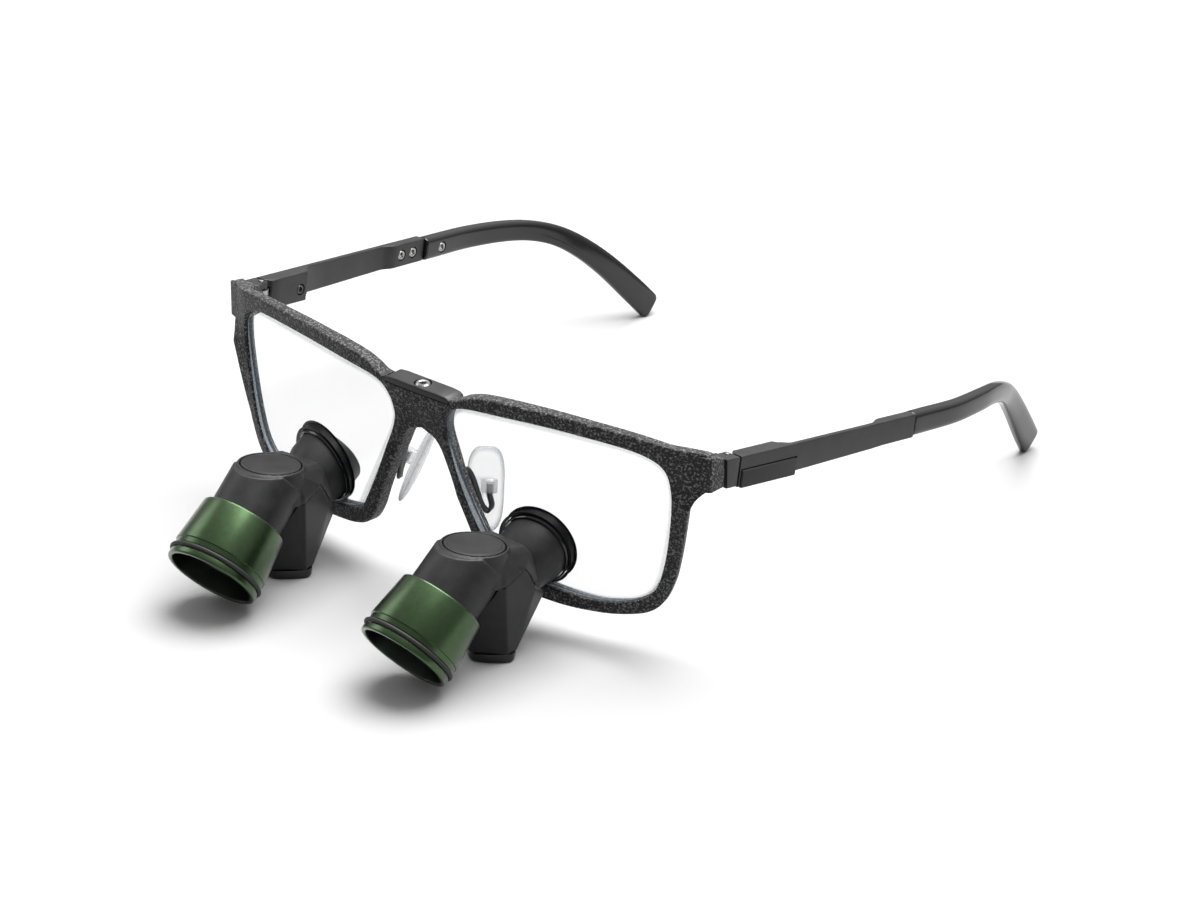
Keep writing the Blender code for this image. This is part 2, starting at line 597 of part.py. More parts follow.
def screw(name, parent, face, along, level, side, length):
    """A small socket screw whose head lies in the inner face of the temple."""
    turned(name, STEEL, parent,
           [(0.0, -0.55), (0.5, -0.55), (0.5, 0.0), (SCREW_HEAD - 0.15, 0.0), (SCREW_HEAD, -0.15),
            (SCREW_HEAD, -0.7), (0.6, -0.7), (0.6, -length), (0.0, -length)],
           (side * (face + 0.05), along, level), (0.0, -side * 90.0, 0.0), steps=16)


def screw_hole(name, parent, face, along, level, side, length):
    return turned(name, None, parent,
                  [(0.0, 1.0), (SCREW_HEAD + 0.2, 1.0), (SCREW_HEAD + 0.2, -0.78), (0.8, -0.78),
                   (0.8, -length), (0.0, -length)],
                  (side * face, along, level), (0.0, -side * 90.0, 0.0), steps=20)


def hinge_and_temple(side_name, side):
    hinge = empty("hinge_" + side_name, datum, (side * HINGE_AT[0], HINGE_AT[1], HINGE_AT[2]),
                  (-TEMPLE_SLOPE, 0.0, -side * TEMPLE_SPLAY))

    # hinge block, fixed to the front, with the pin through its two leaves
    block = box("hinge_block_" + side_name, SATIN_BLACK, hinge,
                (side * -1.9, -4.2, -6.6), (side * ARM_OUTER, 1.1, 0.0), 0.3)
    joint_plane = -4.3
    boolean(block, box("end_piece_room", None, datum, (side * 60.0, -10.0, 38.0), (side * 75.0, joint_plane, 50.0)))
    boolean(block, box("tongue_slot", None, hinge, (side * -3.0, -2.1, -5.1), (side * 2.1, 2.0, -1.5)))
    boolean(block, box("swing_room", None, hinge, (side * -3.0, -1.8, -7.0), (side * -1.15, 2.0, 1.0)))
    boolean(block, box("corner_room", None, hinge, (side * -3.0, 0.85, -7.0), (side * 0.1, 2.0, 1.0)))
    boolean(block, disc("pin_hole", None, hinge, 0.75, -8.0, 1.0, steps=20))
    turned("hinge_pin_" + side_name, STEEL, hinge,
           [(0.0, 0.2), (0.45, 0.2), (0.6, 0.05), (0.6, -6.5), (0.0, -6.5)], steps=20)

    # steel tongue that swings on the pin and is screwed into the arm
    tongue = turned("hinge_tongue_" + side_name, STEEL, hinge,
                    [(1.7, -1.8), (1.7, -4.8), (0.75, -4.8), (0.75, -1.8)], steps=24)
    boolean(tongue, box("tongue_strap", None, hinge, (side * -0.5, 1.2, -4.6), (side * 0.6, 10.8, -2.0)), 'UNION')

    # arm
    stations = [(ARM_FRONT, 0.2, -6.9), (2.9, ARM_INNER, -6.9), (14.9, ARM_INNER, -6.9), (15.9, 0.1, -6.5),
                (18.3, ARM_THIN, -6.4), (44.5, ARM_THIN, -5.7), (48.0, BACK_INNER, -5.5), (ARM_BACK, BACK_INNER, -5.4)]
    arm = loft("temple_arm_" + side_name, SATIN_BLACK, hinge,
               [block_section(along, inner, ARM_OUTER, low, side) for along, inner, low in stations])
    boolean(arm, box("tongue_room", None, hinge, (side * -0.75, 0.0, -4.9), (side * 0.85, 11.2, -1.7)))
    boolean(arm, disc("barrel_room", None, hinge, 2.0, -5.1, -1.5, steps=24))
    boolean(arm, box("badge_room", None, hinge, (side * 1.9, 1.8, -7.5), (side * 4.0, 19.6, -2.9)))
    badge = box("badge_insert_" + side_name, RUBBER, hinge,
                (side * 2.1, 2.1, -7.1), (side * 3.15, 19.3, -3.2), 0.2)
    along, level = BLOCK_SCREW
    boolean(arm, screw_hole("block_screw_room", hinge, ARM_INNER, along, level, side, 2.2))
    screw("block_screw_" + side_name, hinge, ARM_INNER, along, level, side, 2.0)

    # tip on its flat steel core
    core = box("temple_core_" + side_name, STEEL, hinge,
               (side * 1.1, 48.6, CORE_LEVEL - 1.2), (side * 1.9, 71.5, CORE_LEVEL + 1.2))
    core_room = box("temple_core_room", None, hinge,
                    (side * 0.85, 48.3, CORE_LEVEL - 1.5), (side * 2.15, 71.9, CORE_LEVEL + 1.5))
    boolean(arm, core_room)
    tip = loft("temple_tip_" + side_name, GLOSS_BLACK, hinge,
               [oval_section(station[:3], *station[3:], side) for station in TIP_PATH])
    boolean(tip, core_room)
    for name, place in CORE_SCREWS:
        hole = screw_hole(name + "room", hinge, BACK_INNER, place, CORE_LEVEL, side, 1.9)
        boolean(arm, hole)
        boolean(core, hole)
        screw(name + side_name, hinge, BACK_INNER, place, CORE_LEVEL, side, 1.7)
    tip_hole = screw_hole("tip_screw_room", hinge, TIP_INNER, TIP_SCREW_AT, CORE_LEVEL, side, 2.7)
    boolean(tip, tip_hole)
    boolean(core, tip_hole)
    screw("tip_screw_" + side_name, hinge, TIP_INNER, TIP_SCREW_AT, CORE_LEVEL, side, 2.5)


for side_name, side in (("left", 1), ("right", -1)):
    hinge_and_temple(side_name, side)
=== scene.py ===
import math

import bmesh
import bpy
from mathutils import Euler, Matrix, Vector


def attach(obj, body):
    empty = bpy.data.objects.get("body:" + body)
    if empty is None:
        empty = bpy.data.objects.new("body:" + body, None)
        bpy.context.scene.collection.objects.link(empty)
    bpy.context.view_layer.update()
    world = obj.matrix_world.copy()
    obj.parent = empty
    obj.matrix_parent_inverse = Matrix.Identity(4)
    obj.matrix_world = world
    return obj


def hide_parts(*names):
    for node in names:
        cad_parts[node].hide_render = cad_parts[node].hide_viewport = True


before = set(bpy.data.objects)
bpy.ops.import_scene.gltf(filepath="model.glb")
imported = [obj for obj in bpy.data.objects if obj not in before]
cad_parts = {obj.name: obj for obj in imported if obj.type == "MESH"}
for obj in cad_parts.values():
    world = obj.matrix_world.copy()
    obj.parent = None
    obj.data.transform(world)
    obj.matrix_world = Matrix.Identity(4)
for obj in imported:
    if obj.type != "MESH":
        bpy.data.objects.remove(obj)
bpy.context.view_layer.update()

# ---------------------------------------------------------------- table, light and camera
# The loupes lie on a white table under one wide overhead softbox. The surround is bright above
# and behind, and dimmer in front, so that black edges keep a light upper side.
table_shape = bmesh.new()
bmesh.ops.create_grid(table_shape, x_segments=8, y_segments=8, size=4.0)
table_mesh = bpy.data.meshes.new("table_top")
table_shape.to_mesh(table_mesh)
table_shape.free()
table = bpy.data.objects.new("table_top", table_mesh)
bpy.context.scene.collection.objects.link(table)
table.location.z = -0.00005
white = bpy.data.materials.new("white_table")
white.use_nodes = True
for socket, value in (("Base Color", (0.44, 0.44, 0.44, 1.0)), ("Roughness", 0.75),
                      ("Specular IOR Level", 0.2)):
    white.node_tree.nodes["Principled BSDF"].inputs[socket].default_value = value
table_mesh.materials.append(white)

surround = bpy.data.worlds.new("studio_surround")
surround.use_nodes = True
bpy.context.scene.world = surround
sky = surround.node_tree
heading = sky.nodes.new("ShaderNodeTexCoord")
split = sky.nodes.new("ShaderNodeSeparateXYZ")
sky.links.new(heading.outputs["Generated"], split.inputs[0])
strength = sky.nodes.new("ShaderNodeMath")
strength.operation = 'MULTIPLY'
# each row: axis, where the change starts and ends on it, and the brightness at each end
for place, (axis, low, high, dim, bright) in zip(strength.inputs, (("Z", 0.0, 0.9, 0.16, 0.85),
                                                                   ("Y", -0.3, 0.9, 0.6, 1.9))):
    grade = sky.nodes.new("ShaderNodeMapRange")
    for socket, value in (("From Min", low), ("From Max", high), ("To Min", dim), ("To Max", bright)):
        grade.inputs[socket].default_value = value
    sky.links.new(split.outputs[axis], grade.inputs["Value"])
    sky.links.new(grade.outputs[0], place)
sky.links.new(strength.outputs[0], sky.nodes["Background"].inputs["Strength"])
sky.nodes["Background"].inputs["Color"].default_value = (1.0, 1.0, 1.0, 1.0)


def softbox(name, width, depth, watts, at, aim):
    lamp = bpy.data.lights.new(name, 'AREA')
    lamp.shape = 'RECTANGLE'
    lamp.size = width
    lamp.size_y = depth
    lamp.energy = watts
    held = bpy.data.objects.new(name, lamp)
    bpy.context.scene.collection.objects.link(held)
    held.location = at
    held.rotation_euler = (Vector(aim) - Vector(at)).to_track_quat('-Z', 'Y').to_euler()


softbox("overhead_softbox", 0.8, 0.6, 14.5, (0.02, 0.20, 0.72), (0.0, 0.0, 0.0))
softbox("side_softbox", 0.4, 0.4, 1.2, (-0.75, -0.25, 0.5), (0.0, -0.02, 0.02))

lens_head = bpy.data.cameras.new("studio_camera")
lens_head.lens = 179.56
lens_head.sensor_width = 36.0
lens_head.clip_start = 0.01
lens_head.clip_end = 10.0
camera = bpy.data.objects.new("studio_camera", lens_head)
bpy.context.scene.collection.objects.link(camera)
camera.location = (0.7804, -0.8992, 0.5946)
looks_down, turned_left = 25.938, 40.693
camera.rotation_euler = (math.radians(90.0 - looks_down), 0.0, math.radians(turned_left))
bpy.context.scene.camera = camera
bpy.context.scene.view_settings.view_transform = 'Standard'


# ---------------------------------------------------------------- spectacle front
# One laser-sintered nylon piece, dyed black, with the sugary grain that sintering leaves. Two
# lens openings, a pocket for the bridge plate and end pieces that the hinge blocks close on.
DATUM_Y = -0.02784        # the plane between the front and the temples, from the middle of the depth
DATUM = Matrix.Translation((0.0, DATUM_Y, 0.0)) @ Matrix.Scale(0.001, 4)        # shapes are in millimetres
LENS_OPENING = [
    (7.2, 42.0), (8.6, 45.7), (12.3, 48.0), (21.0, 48.9), (35.0, 49.4), (49.0, 48.7), (56.3, 47.4),
    (60.2, 44.8), (61.4, 40.0), (61.1, 33.0), (59.6, 23.0), (57.4, 16.0), (53.6, 12.3), (47.0, 10.3),
    (41.0, 9.9), (32.5, 10.6), (24.0, 12.0), (20.0, 13.4), (17.9, 16.1), (13.7, 24.2), (9.8, 32.8),
    (7.6, 38.5)]
HALF_FRONT = [
    (0.0, 48.6), (9.8, 49.2), (13.3, 50.7), (17.5, 51.9), (24.0, 52.5), (35.0, 52.8), (45.0, 52.4),
    (53.0, 51.8), (60.0, 50.8), (66.0, 49.7), (68.5, 49.0), (69.3, 47.6), (69.2, 43.6), (68.6, 41.4),
    (67.3, 39.9), (66.2, 38.0), (65.3, 34.0), (64.2, 28.6), (62.8, 22.8), (61.2, 17.6), (58.9, 12.8),
    (55.2, 9.6), (48.5, 7.7), (41.8, 7.0), (35.5, 6.9), (28.5, 7.5), (22.0, 8.6), (17.8, 10.5),
    (14.9, 14.4), (12.4, 20.2), (9.2, 27.4), (6.7, 32.8), (5.0, 36.4), (3.0, 38.4), (0.0, 38.95)]
FRONT_RADIUS = 173.0
FRONT_Y, FRONT_LEAN = -24.3, 0.065
CREASE_LEVEL, CREASE_FALL, CREASE_HALF = 45.3, 0.22, 10.0
SWEEP_START, SWEEP_RATE = 61.8, 0.33
EDGE_RADIUS, LIP_RADIUS = 0.5, 0.4
QUARTER = [math.radians(degrees) for degrees in (0.0, 30.0, 60.0, 90.0)]
BRIDGE_SCREW_Y = -21.7
WIRE_START = (8.9, -19.9, 30.6)


class Tone:
    """A shader value that can be used in plain sums."""

    def __init__(self, tree, socket):
        self.tree, self.socket = tree, socket

    def sum(self, operation, *values):
        node = self.tree.nodes.new("ShaderNodeMath")
        node.operation = operation
        for place, value in zip(node.inputs, values):
            if isinstance(value, Tone):
                self.tree.links.new(value.socket, place)
            else:
                place.default_value = value
        return Tone(self.tree, node.outputs[0])

    def __add__(self, other):
        return self.sum('ADD', self, other)

    def __sub__(self, other):
        return self.sum('SUBTRACT', self, other)

    def __rsub__(self, other):
        return self.sum('SUBTRACT', other, self)

    def __mul__(self, other):
        return self.sum('MULTIPLY', self, other)

    def __pow__(self, other):
        return self.sum('POWER', self, other)

    __radd__ = __add__
    __rmul__ = __mul__


class Finish:
    """A surface finish built around one Principled shader."""

    def __init__(self, name, **constants):
        self.material = bpy.data.materials.new(name)
        self.material.use_nodes = True
        self.tree = self.material.node_tree
        self.shader = self.tree.nodes["Principled BSDF"]
        self.place = self.node("ShaderNodeTexCoord", out="Object")
        for socket, value in constants.items():
            self.set(socket.replace("_", " "), value)

    def node(self, kind, settings=None, sockets=None, out=0):
        made = self.tree.nodes.new(kind)
        for setting, value in (settings or {}).items():
            if setting == "stops":
                while len(made.color_ramp.elements) < len(value):
                    made.color_ramp.elements.new(0.5)
                for element, (position, shade) in zip(made.color_ramp.elements, value):
                    element.position = position
                    element.color = (*shade, 1.0)
            else:
                setattr(made, setting, value)
        for socket, value in (sockets or {}).items():
            if isinstance(value, Tone):
                self.tree.links.new(value.socket, made.inputs[socket])
            else:
                made.inputs[socket].default_value = value
        return Tone(self.tree, made.outputs[out])

    def set(self, socket, value):
        full_names = {"Specular": "Specular IOR Level", "Transmission": "Transmission Weight",
                      "Coat": "Coat Weight"}
        target = self.shader.inputs[full_names.get(socket, socket)]
        if isinstance(value, Tone):
            self.tree.links.new(value.socket, target)
        else:
            target.default_value = value

    def noise(self, per_metre, detail=2.0, roughness=0.5, across=None, dimensions='3D'):
        where = {"Vector" if dimensions == '3D' else "W": across or self.place}
        return self.node("ShaderNodeTexNoise", {"noise_dimensions": dimensions},
                         {**where, "Scale": per_metre, "Detail": detail, "Roughness": roughness})

    def blend(self, factor, first, second):
        return self.node("ShaderNodeMix", {"data_type": 'RGBA'},
                         {0: factor, 6: (*first, 1.0) if isinstance(first, tuple) else first,
                          7: (*second, 1.0) if isinstance(second, tuple) else second}, out=2)

    def range(self, value, low, high, to_low=0.0, to_high=1.0):
        return self.node("ShaderNodeMapRange", {"clamp": True}, {
            "Value": value, "From Min": low, "From Max": high, "To Min": to_low, "To Max": to_high})

    def bump(self, height, depth, strength=1.0):
        """Raises the surface by the height, whose full depth is given in millimetres."""
        self.set("Normal", self.node("ShaderNodeBump", None,
                                     {"Height": height, "Distance": depth * 0.001, "Strength": strength}))


def fresh_object(shape):
    mesh = bpy.data.meshes.new("working")
    bmesh.ops.recalc_face_normals(shape, faces=shape.faces)
    shape.to_mesh(mesh)
    shape.free()
    made = bpy.data.objects.new("working", mesh)
    bpy.context.scene.collection.objects.link(made)
    return made


def settled(thing):
    """The shape that a working object comes to once its modifiers have run."""
    bpy.context.view_layer.update()
    mesh = bpy.data.meshes.new_from_object(thing.evaluated_get(bpy.context.evaluated_depsgraph_get()))
    shape = bmesh.new()
    shape.from_mesh(mesh)
    bpy.data.meshes.remove(mesh)
    bpy.data.meshes.remove(thing.data)
    return shape


def carve(shape, *steps):
    """Cuts or joins tool shapes, given as (operation, tool), in turn."""
    target = fresh_object(shape)
    tools = []
    for operation, tool in steps:
        tools.append(fresh_object(tool))
        step = target.modifiers.new("carve", 'BOOLEAN')
        step.operation = operation
        step.object = tools[-1]
        step.solver = 'EXACT'
    result = settled(target)
    for tool in tools:
        bpy.data.meshes.remove(tool.data)
    return result


def block(low, high, radius=0.0, segments=3):
    """A rectangular block with rounded edges."""
    shape = bmesh.new()
    bmesh.ops.create_cube(shape, size=1.0)
    for vertex in shape.verts:
        for axis in range(3):
            near, far = sorted((low[axis], high[axis]))
            vertex.co[axis] = near if vertex.co[axis] < 0 else far
    if radius:
        bmesh.ops.bevel(shape, geom=shape.edges[:], offset=radius, offset_type='OFFSET', segments=segments,
                        profile=0.5, affect='EDGES', clamp_overlap=True)
    return shape


def turned(profile, steps=96, turn=None):
    """A closed profile of (radius, height) points turned about Z."""
    shape = bmesh.new()
    columns = []
    for radius, level in profile:
        if radius < 1e-6:
            columns.append([shape.verts.new((0.0, 0.0, level))] * steps)
        else:
            columns.append([shape.verts.new((radius * math.cos(math.tau * step / steps),
                                             radius * math.sin(math.tau * step / steps), level))
                            for step in range(steps)])
    closed = profile[0][0] > 1e-6
    pairs = list(zip(columns, columns[1:])) + ([(columns[-1], columns[0])] if closed else [])
    for first, second in pairs:
        for step in range(steps):
            after = (step + 1) % steps
            corners = []
            for corner in (first[step], first[after], second[after], second[step]):
                if corner not in corners:
                    corners.append(corner)
            if len(corners) > 2:
                shape.faces.new(corners)
    if turn:
        bmesh.ops.transform(shape, matrix=turn, verts=shape.verts)
    return shape


def piece(name, shape, matrix, finish, body, nodes, crisp=35.0):
    """Puts a shape in its place on the loupes as a finished piece."""
    bmesh.ops.transform(shape, matrix=matrix, verts=shape.verts)
    bmesh.ops.remove_doubles(shape, verts=shape.verts, dist=0.000001)
    bmesh.ops.recalc_face_normals(shape, faces=shape.faces)
    mesh = bpy.data.meshes.new(name)
    shape.to_mesh(mesh)
    shape.free()
    mesh.shade_smooth()
    if crisp:
        mesh.set_sharp_from_angle(angle=math.radians(crisp))
    mesh.materials.clear()
    mesh.materials.append(finish.material)
    made = bpy.data.objects.new(name, mesh)
    bpy.context.scene.collection.objects.link(made)
    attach(made, body)
    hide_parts(*nodes)


def smooth_path(points, closed, pieces):
    """Points along a Catmull-Rom curve through the given ones."""
    count = len(points)
    spans = count if closed else count - 1
    path = []
    for span in range(spans):
        ends = [(span + offset) % count if closed else min(max(span + offset, 0), count - 1)
                for offset in (-1, 0, 1, 2)]
        p0, p1, p2, p3 = (Vector(points[index]) for index in ends)
        for part in range(pieces):
            t = part / pieces
            path.append(0.5 * (2 * p1 + (p2 - p0) * t + (2 * p0 - 5 * p1 + 4 * p2 - p3) * t ** 2
                               + (3 * p1 - p0 - 3 * p2 + p3) * t ** 3))
    if not closed:
        path.append(Vector(points[-1]))
    return path


def ray_length(centre, angle, outline):
    """Distance from the centre to a closed outline, along one direction."""
    way = Vector((math.cos(angle), math.sin(angle)))
    lengths = []
    for first, second in zip(outline, outline[1:] + outline[:1]):
        side = second - first
        cross = way.x * side.y - way.y * side.x
        if abs(cross) < 1e-9:
            continue
        start = first - centre
        along = (start.x * side.y - start.y * side.x) / cross
        part = (start.x * way.y - start.y * way.x) / cross
        if along > 0 and -1e-6 <= part <= 1 + 1e-6:
            lengths.append(along)
    return min(lengths)


def front_y(x, z):
    """The front face: wrapped round the face, leaning back, folded once below the bridge plate."""
    wrapped = x * x / (2 * FRONT_RADIUS)
    below_crease = max(0.0, CREASE_LEVEL - z) * max(0.0, 1.0 - abs(x) / CREASE_HALF)
    swept_back = SWEEP_RATE * max(0.0, abs(x) - SWEEP_START) * max(-1.0, min(1.0, (z - 39.0) / 2.5))
    return FRONT_Y + wrapped - FRONT_LEAN * (z - 50.0) + CREASE_FALL * below_crease + swept_back


def front_depth(x):
    """Thickest at the bridge, thinner towards the outer ends."""
    return 3.4 - max(0.0, min(1.0, (x - 25.0) / 35.0)) + math.exp(-(x / 9.0) ** 2)


def front_point(p, depth):
    """A point of the outline, at a depth behind the front face."""
    angle = p.x / FRONT_RADIUS
    return Vector((p.x - depth * math.sin(angle), front_y(p.x, p.y) + depth * math.cos(angle), p.y))


opening_path = smooth_path(LENS_OPENING, True, 10)
outer_path = smooth_path(HALF_FRONT, False, 10)


def front_half():
    """The bar and rim round one lens, as a closed section carried round the opening."""
    centre = Vector((36.0, 34.0))
    angles = [math.atan2(*(corner - centre).yx) for corner in (outer_path[0], outer_path[-1])]
    angles += [math.tau * step / 300 - math.pi for step in range(300)]
    angles.sort()
    shape = bmesh.new()
    rings = []
    for angle in angles:
        way = Vector((math.cos(angle), math.sin(angle)))
        inner = centre + way * ray_length(centre, angle, opening_path)
        outer = centre + way * ray_length(centre, angle, outer_path)
        middle = outer.x < 0.01
        outer.x = max(outer.x, 0.0)
        reach = 0.0 if middle else EDGE_RADIUS
        back, back_inner = front_depth(outer.x), front_depth(inner.x)
        bend = [(way * (1 - math.cos(a)), 1 - math.sin(a)) for a in QUARTER]
        layers = [(outer - inward * reach, EDGE_RADIUS * deep) for inward, deep in bend]
        face_edge, lip = layers[-1][0], inner + way * LIP_RADIUS
        layers += [(face_edge.lerp(lip, part), 0.0) for part in (0.35, 0.7)]
        layers += [(inner + away * LIP_RADIUS, LIP_RADIUS * deep) for away, deep in reversed(bend)]
        layers += [(inner, 0.9), (inner + way * 0.8, 1.4), (inner, 1.9)]
        layers += [(inner + away * LIP_RADIUS, back_inner - LIP_RADIUS * deep) for away, deep in bend]
        layers += [(lip.lerp(face_edge, part), back_inner + (back - back_inner) * part) for part in (0.35, 0.7)]
        layers += [(outer - inward * reach, back - EDGE_RADIUS * deep) for inward, deep in reversed(bend)]
        rings.append(([shape.verts.new(front_point(p, depth)) for p, depth in layers], middle))
    count = len(rings[0][0])
    on_wall = set(range(3)) | set(range(count - 4, count))
    for (first, first_middle), (second, second_middle) in zip(rings, rings[1:] + rings[:1]):
        for layer in range(count):
            if layer in on_wall and first_middle and second_middle:
                continue
            after = (layer + 1) % count
            shape.faces.new((first[layer], first[after], second[after], second[layer]))
    return shape


half = front_half()
other = half.copy()
bmesh.ops.transform(other, matrix=Matrix.Scale(-1.0, 4, (1.0, 0.0, 0.0)), verts=other.verts)
other_mesh = bpy.data.meshes.new("other_half")
other.to_mesh(other_mesh)
other.free()
half.from_mesh(other_mesh)
bpy.data.meshes.remove(other_mesh)
bmesh.ops.remove_doubles(half, verts=half.verts, dist=0.002)


def end_piece(side):
    """Sweeps back from the face to the joint with the hinge block."""
    shape = bmesh.new()
    for x, y in ((64.2, -11.1), (68.7, -9.3), (69.3, -8.7), (69.3, -4.6), (64.4, -4.6)):
        for z in (40.9, 48.9 if y < -8.0 else 47.5):
            shape.verts.new((side * x, y, z))
    bmesh.ops.convex_hull(shape, input=shape.verts)
    bmesh.ops.dissolve_limit(shape, angle_limit=math.radians(2.0), verts=shape.verts, edges=shape.edges)
    bmesh.ops.bevel(shape, geom=shape.edges[:], offset=0.35, offset_type='OFFSET', segments=3, profile=0.5,
                    affect='EDGES', clamp_overlap=True)
    return shape


cuts = [('UNION', end_piece(side)) for side in (1, -1)]
cuts.append(('DIFFERENCE', block((-9.4, -24.6, 48.0), (9.4, -18.0, 53.0))))
cuts.append(('DIFFERENCE', turned([(0.0, 49.0), (1.1, 49.0), (1.1, 43.5), (0.0, 43.5)], 32,
                                  Matrix.Translation((0.0, BRIDGE_SCREW_Y, 0.0)))))
for side in (1, -1):
    into_bar = Matrix.Translation((side * WIRE_START[0], WIRE_START[1], WIRE_START[2])) @ Matrix.Rotation(
        math.radians(-90.0), 4, 'X')
    cuts.append(('DIFFERENCE', turned([(0.0, 4.0), (0.8, 4.0), (0.8, -2.0), (0.0, -2.0)], 20, into_bar)))

nylon = Finish("sintered_nylon_black", Specular=0.30, Sheen_Weight=0.16, Sheen_Roughness=0.5)
sugar = nylon.noise(1900.0, 1.0, 0.5)
cloud = nylon.noise(700.0, 2.0, 0.5)
# painted_glint: sparse bright specks painted into the base colour as painted highlights, over the nylon's own
# sintered grain
painted_glint = nylon.range(nylon.noise(2600.0, 0.0, 0.5), 0.58, 0.70)
grain = nylon.range(sugar + (cloud - 0.5) * 0.15, 0.42, 0.64)
nylon.set("Base Color", nylon.node("ShaderNodeValToRGB", {"stops": [
    (0.0, (0.002, 0.002, 0.0022)), (0.45, (0.008, 0.008, 0.0085)), (1.0, (0.150, 0.150, 0.153))]},
    {"Fac": grain * 0.80 + painted_glint * 0.35}))
nylon.set("Roughness", 0.68 + (sugar - 0.5) * 0.4 - painted_glint * 0.25)
nylon.bump(grain + painted_glint * 0.3, 0.12, 0.8)
piece("nylon_front", carve(half, *cuts), DATUM, nylon, "front", ["frame_front"], 40.0)


# ---------------------------------------------------------------- bridge plate and its screw
# A moulded plate let into the top of the bridge, smoother than the front around it. One steel
# socket screw holds it; accessories such as a lamp or a shield fasten here.
def skin(sections, round_trip=False):
    """A closed skin through sections of equal point count."""
    shape = bmesh.new()
    rings = [[shape.verts.new(point) for point in section] for section in sections]
    following = rings[1:] + rings[:1] if round_trip else rings[1:]
    for first, second in zip(rings, following):
        for index in range(len(first)):
            after = (index + 1) % len(first)
            shape.faces.new((first[index], first[after], second[after], second[index]))
    if not round_trip:
        shape.faces.new(rings[0])
        shape.faces.new(list(reversed(rings[-1])))
    return shape


PLATE_HALF, PLATE_STEPS = 9.2, 36
plate_sections = []
for step in range(PLATE_STEPS + 1):
    x = -PLATE_HALF + 2 * PLATE_HALF * step / PLATE_STEPS
    face = front_y(x, 50.0) + 0.1
    ease = max(0.0, (abs(x) - 6.0) / 3.2)
    top = 49.7 - 0.2 * ease * ease * (3 - 2 * ease)
    inset = 0.5 * max(0.0, (abs(x) - 8.2)) ** 2
    rim = [(face + 0.35 * (1 - math.cos(a)), top - inset - 0.35 + 0.35 * math.sin(a)) for a in QUARTER]
    heel = [(-19.4 + 0.3 * math.sin(a), top - inset - 0.3 + 0.3 * math.cos(a)) for a in QUARTER]
    plate_sections.append([(x, face, 48.3)] + [(x, y, z) for y, z in rim + heel] + [(x, -19.1, 48.3)])
plate_hole = turned([(0.0, 51.0), (2.25, 51.0), (1.95, 49.5), (1.95, 48.0), (0.0, 48.0)], 48,
                    Matrix.Translation((0.0, BRIDGE_SCREW_Y, 0.0)))

satin = Finish("satin_black_polymer", Specular=0.34)
fine = satin.noise(6500.0, 2.0, 0.5)
broad = satin.noise(260.0, 3.0, 0.5)
satin.set("Base Color", satin.blend(satin.range(fine + broad, 0.7, 1.3),
                                    (0.012, 0.012, 0.0125), (0.024, 0.024, 0.0245)))
satin.set("Roughness", 0.38 + (broad - 0.5) * 0.16 + (fine - 0.5) * 0.14)
satin.bump(fine, 0.02, 0.55)
piece("bridge_inlay", carve(skin(plate_sections), ('DIFFERENCE', plate_hole)), DATUM, satin, "front",
      ["bridge_plate"])

steel = Finish("turned_steel", Metallic=1.0)
swirl = steel.noise(9000.0, 2.0, 0.6)
steel.set("Base Color", steel.blend(swirl, (0.26, 0.26, 0.255), (0.46, 0.46, 0.45)))
steel.set("Roughness", 0.2 + swirl * 0.16)
steel.bump(swirl, 0.006, 0.5)


def input_of(tree, name, kind, value=None):
    socket = tree.interface.new_socket(name, in_out='INPUT', socket_type=kind)
    if value is not None:
        socket.default_value = value
    return socket.identifier


screw_tree = bpy.data.node_groups.new("socket_screws", 'GeometryNodeTree')
SCREW_SIZES = {"Head Radius": 1.15, "Head Height": 0.7, "Socket Radius": 0.55, "Socket Depth": 0.5,
               "Shank Radius": 0.6, "Shank Length": 1.2, "Edge": 0.12, "Size": 0.001}
screw_inputs = {label: input_of(screw_tree, label, 'NodeSocket' + kind) for label, kind in (
    ("Geometry", 'Geometry'), ("Turn", 'Rotation'), ("Finish", 'Material'))}
for label, size in SCREW_SIZES.items():
    screw_inputs[label] = input_of(screw_tree, label, 'NodeSocketFloat', size)
screw_tree.interface.new_socket("Geometry", in_out='OUTPUT', socket_type='NodeSocketGeometry')


def knot(kind, links=None, **settings):
    """One geometry node, with its settings and what feeds each socket."""
    made = screw_tree.nodes.new(kind)
    for setting, value in settings.items():
        setattr(made, setting, value)
    for socket, value in (links or {}).items():
        if isinstance(value, bpy.types.NodeSocket):
            screw_tree.links.new(value, made.inputs[socket])
        else:
            made.inputs[socket].default_value = value
    return made


given = screw_tree.nodes.new("NodeGroupInput").outputs


def figure(operation, first, second):
    return knot("ShaderNodeMath", {0: first, 1: second}, operation=operation).outputs[0]


def raised(mesh, level):
    lift = knot("ShaderNodeCombineXYZ", {"Z": level}).outputs[0]
    return knot("GeometryNodeTransform", {"Geometry": mesh, "Translation": lift}).outputs[0]


def barrel(sides, radius, depth, top):
    """A cylinder whose upper end lies at the given level."""
    drum = knot("GeometryNodeMeshCylinder", {"Vertices": sides, "Radius": radius, "Depth": depth})
    return raised(drum.outputs["Mesh"], figure('SUBTRACT', top, figure('MULTIPLY', depth, 0.5)))


def taper(sides, top, bottom, depth, level):
    """A short cone that stands on the given level."""
    cone = knot("GeometryNodeMeshCone", {"Vertices": sides, "Radius Top": top, "Radius Bottom": bottom,
                                         "Depth": depth})
    return raised(cone.outputs["Mesh"], level)


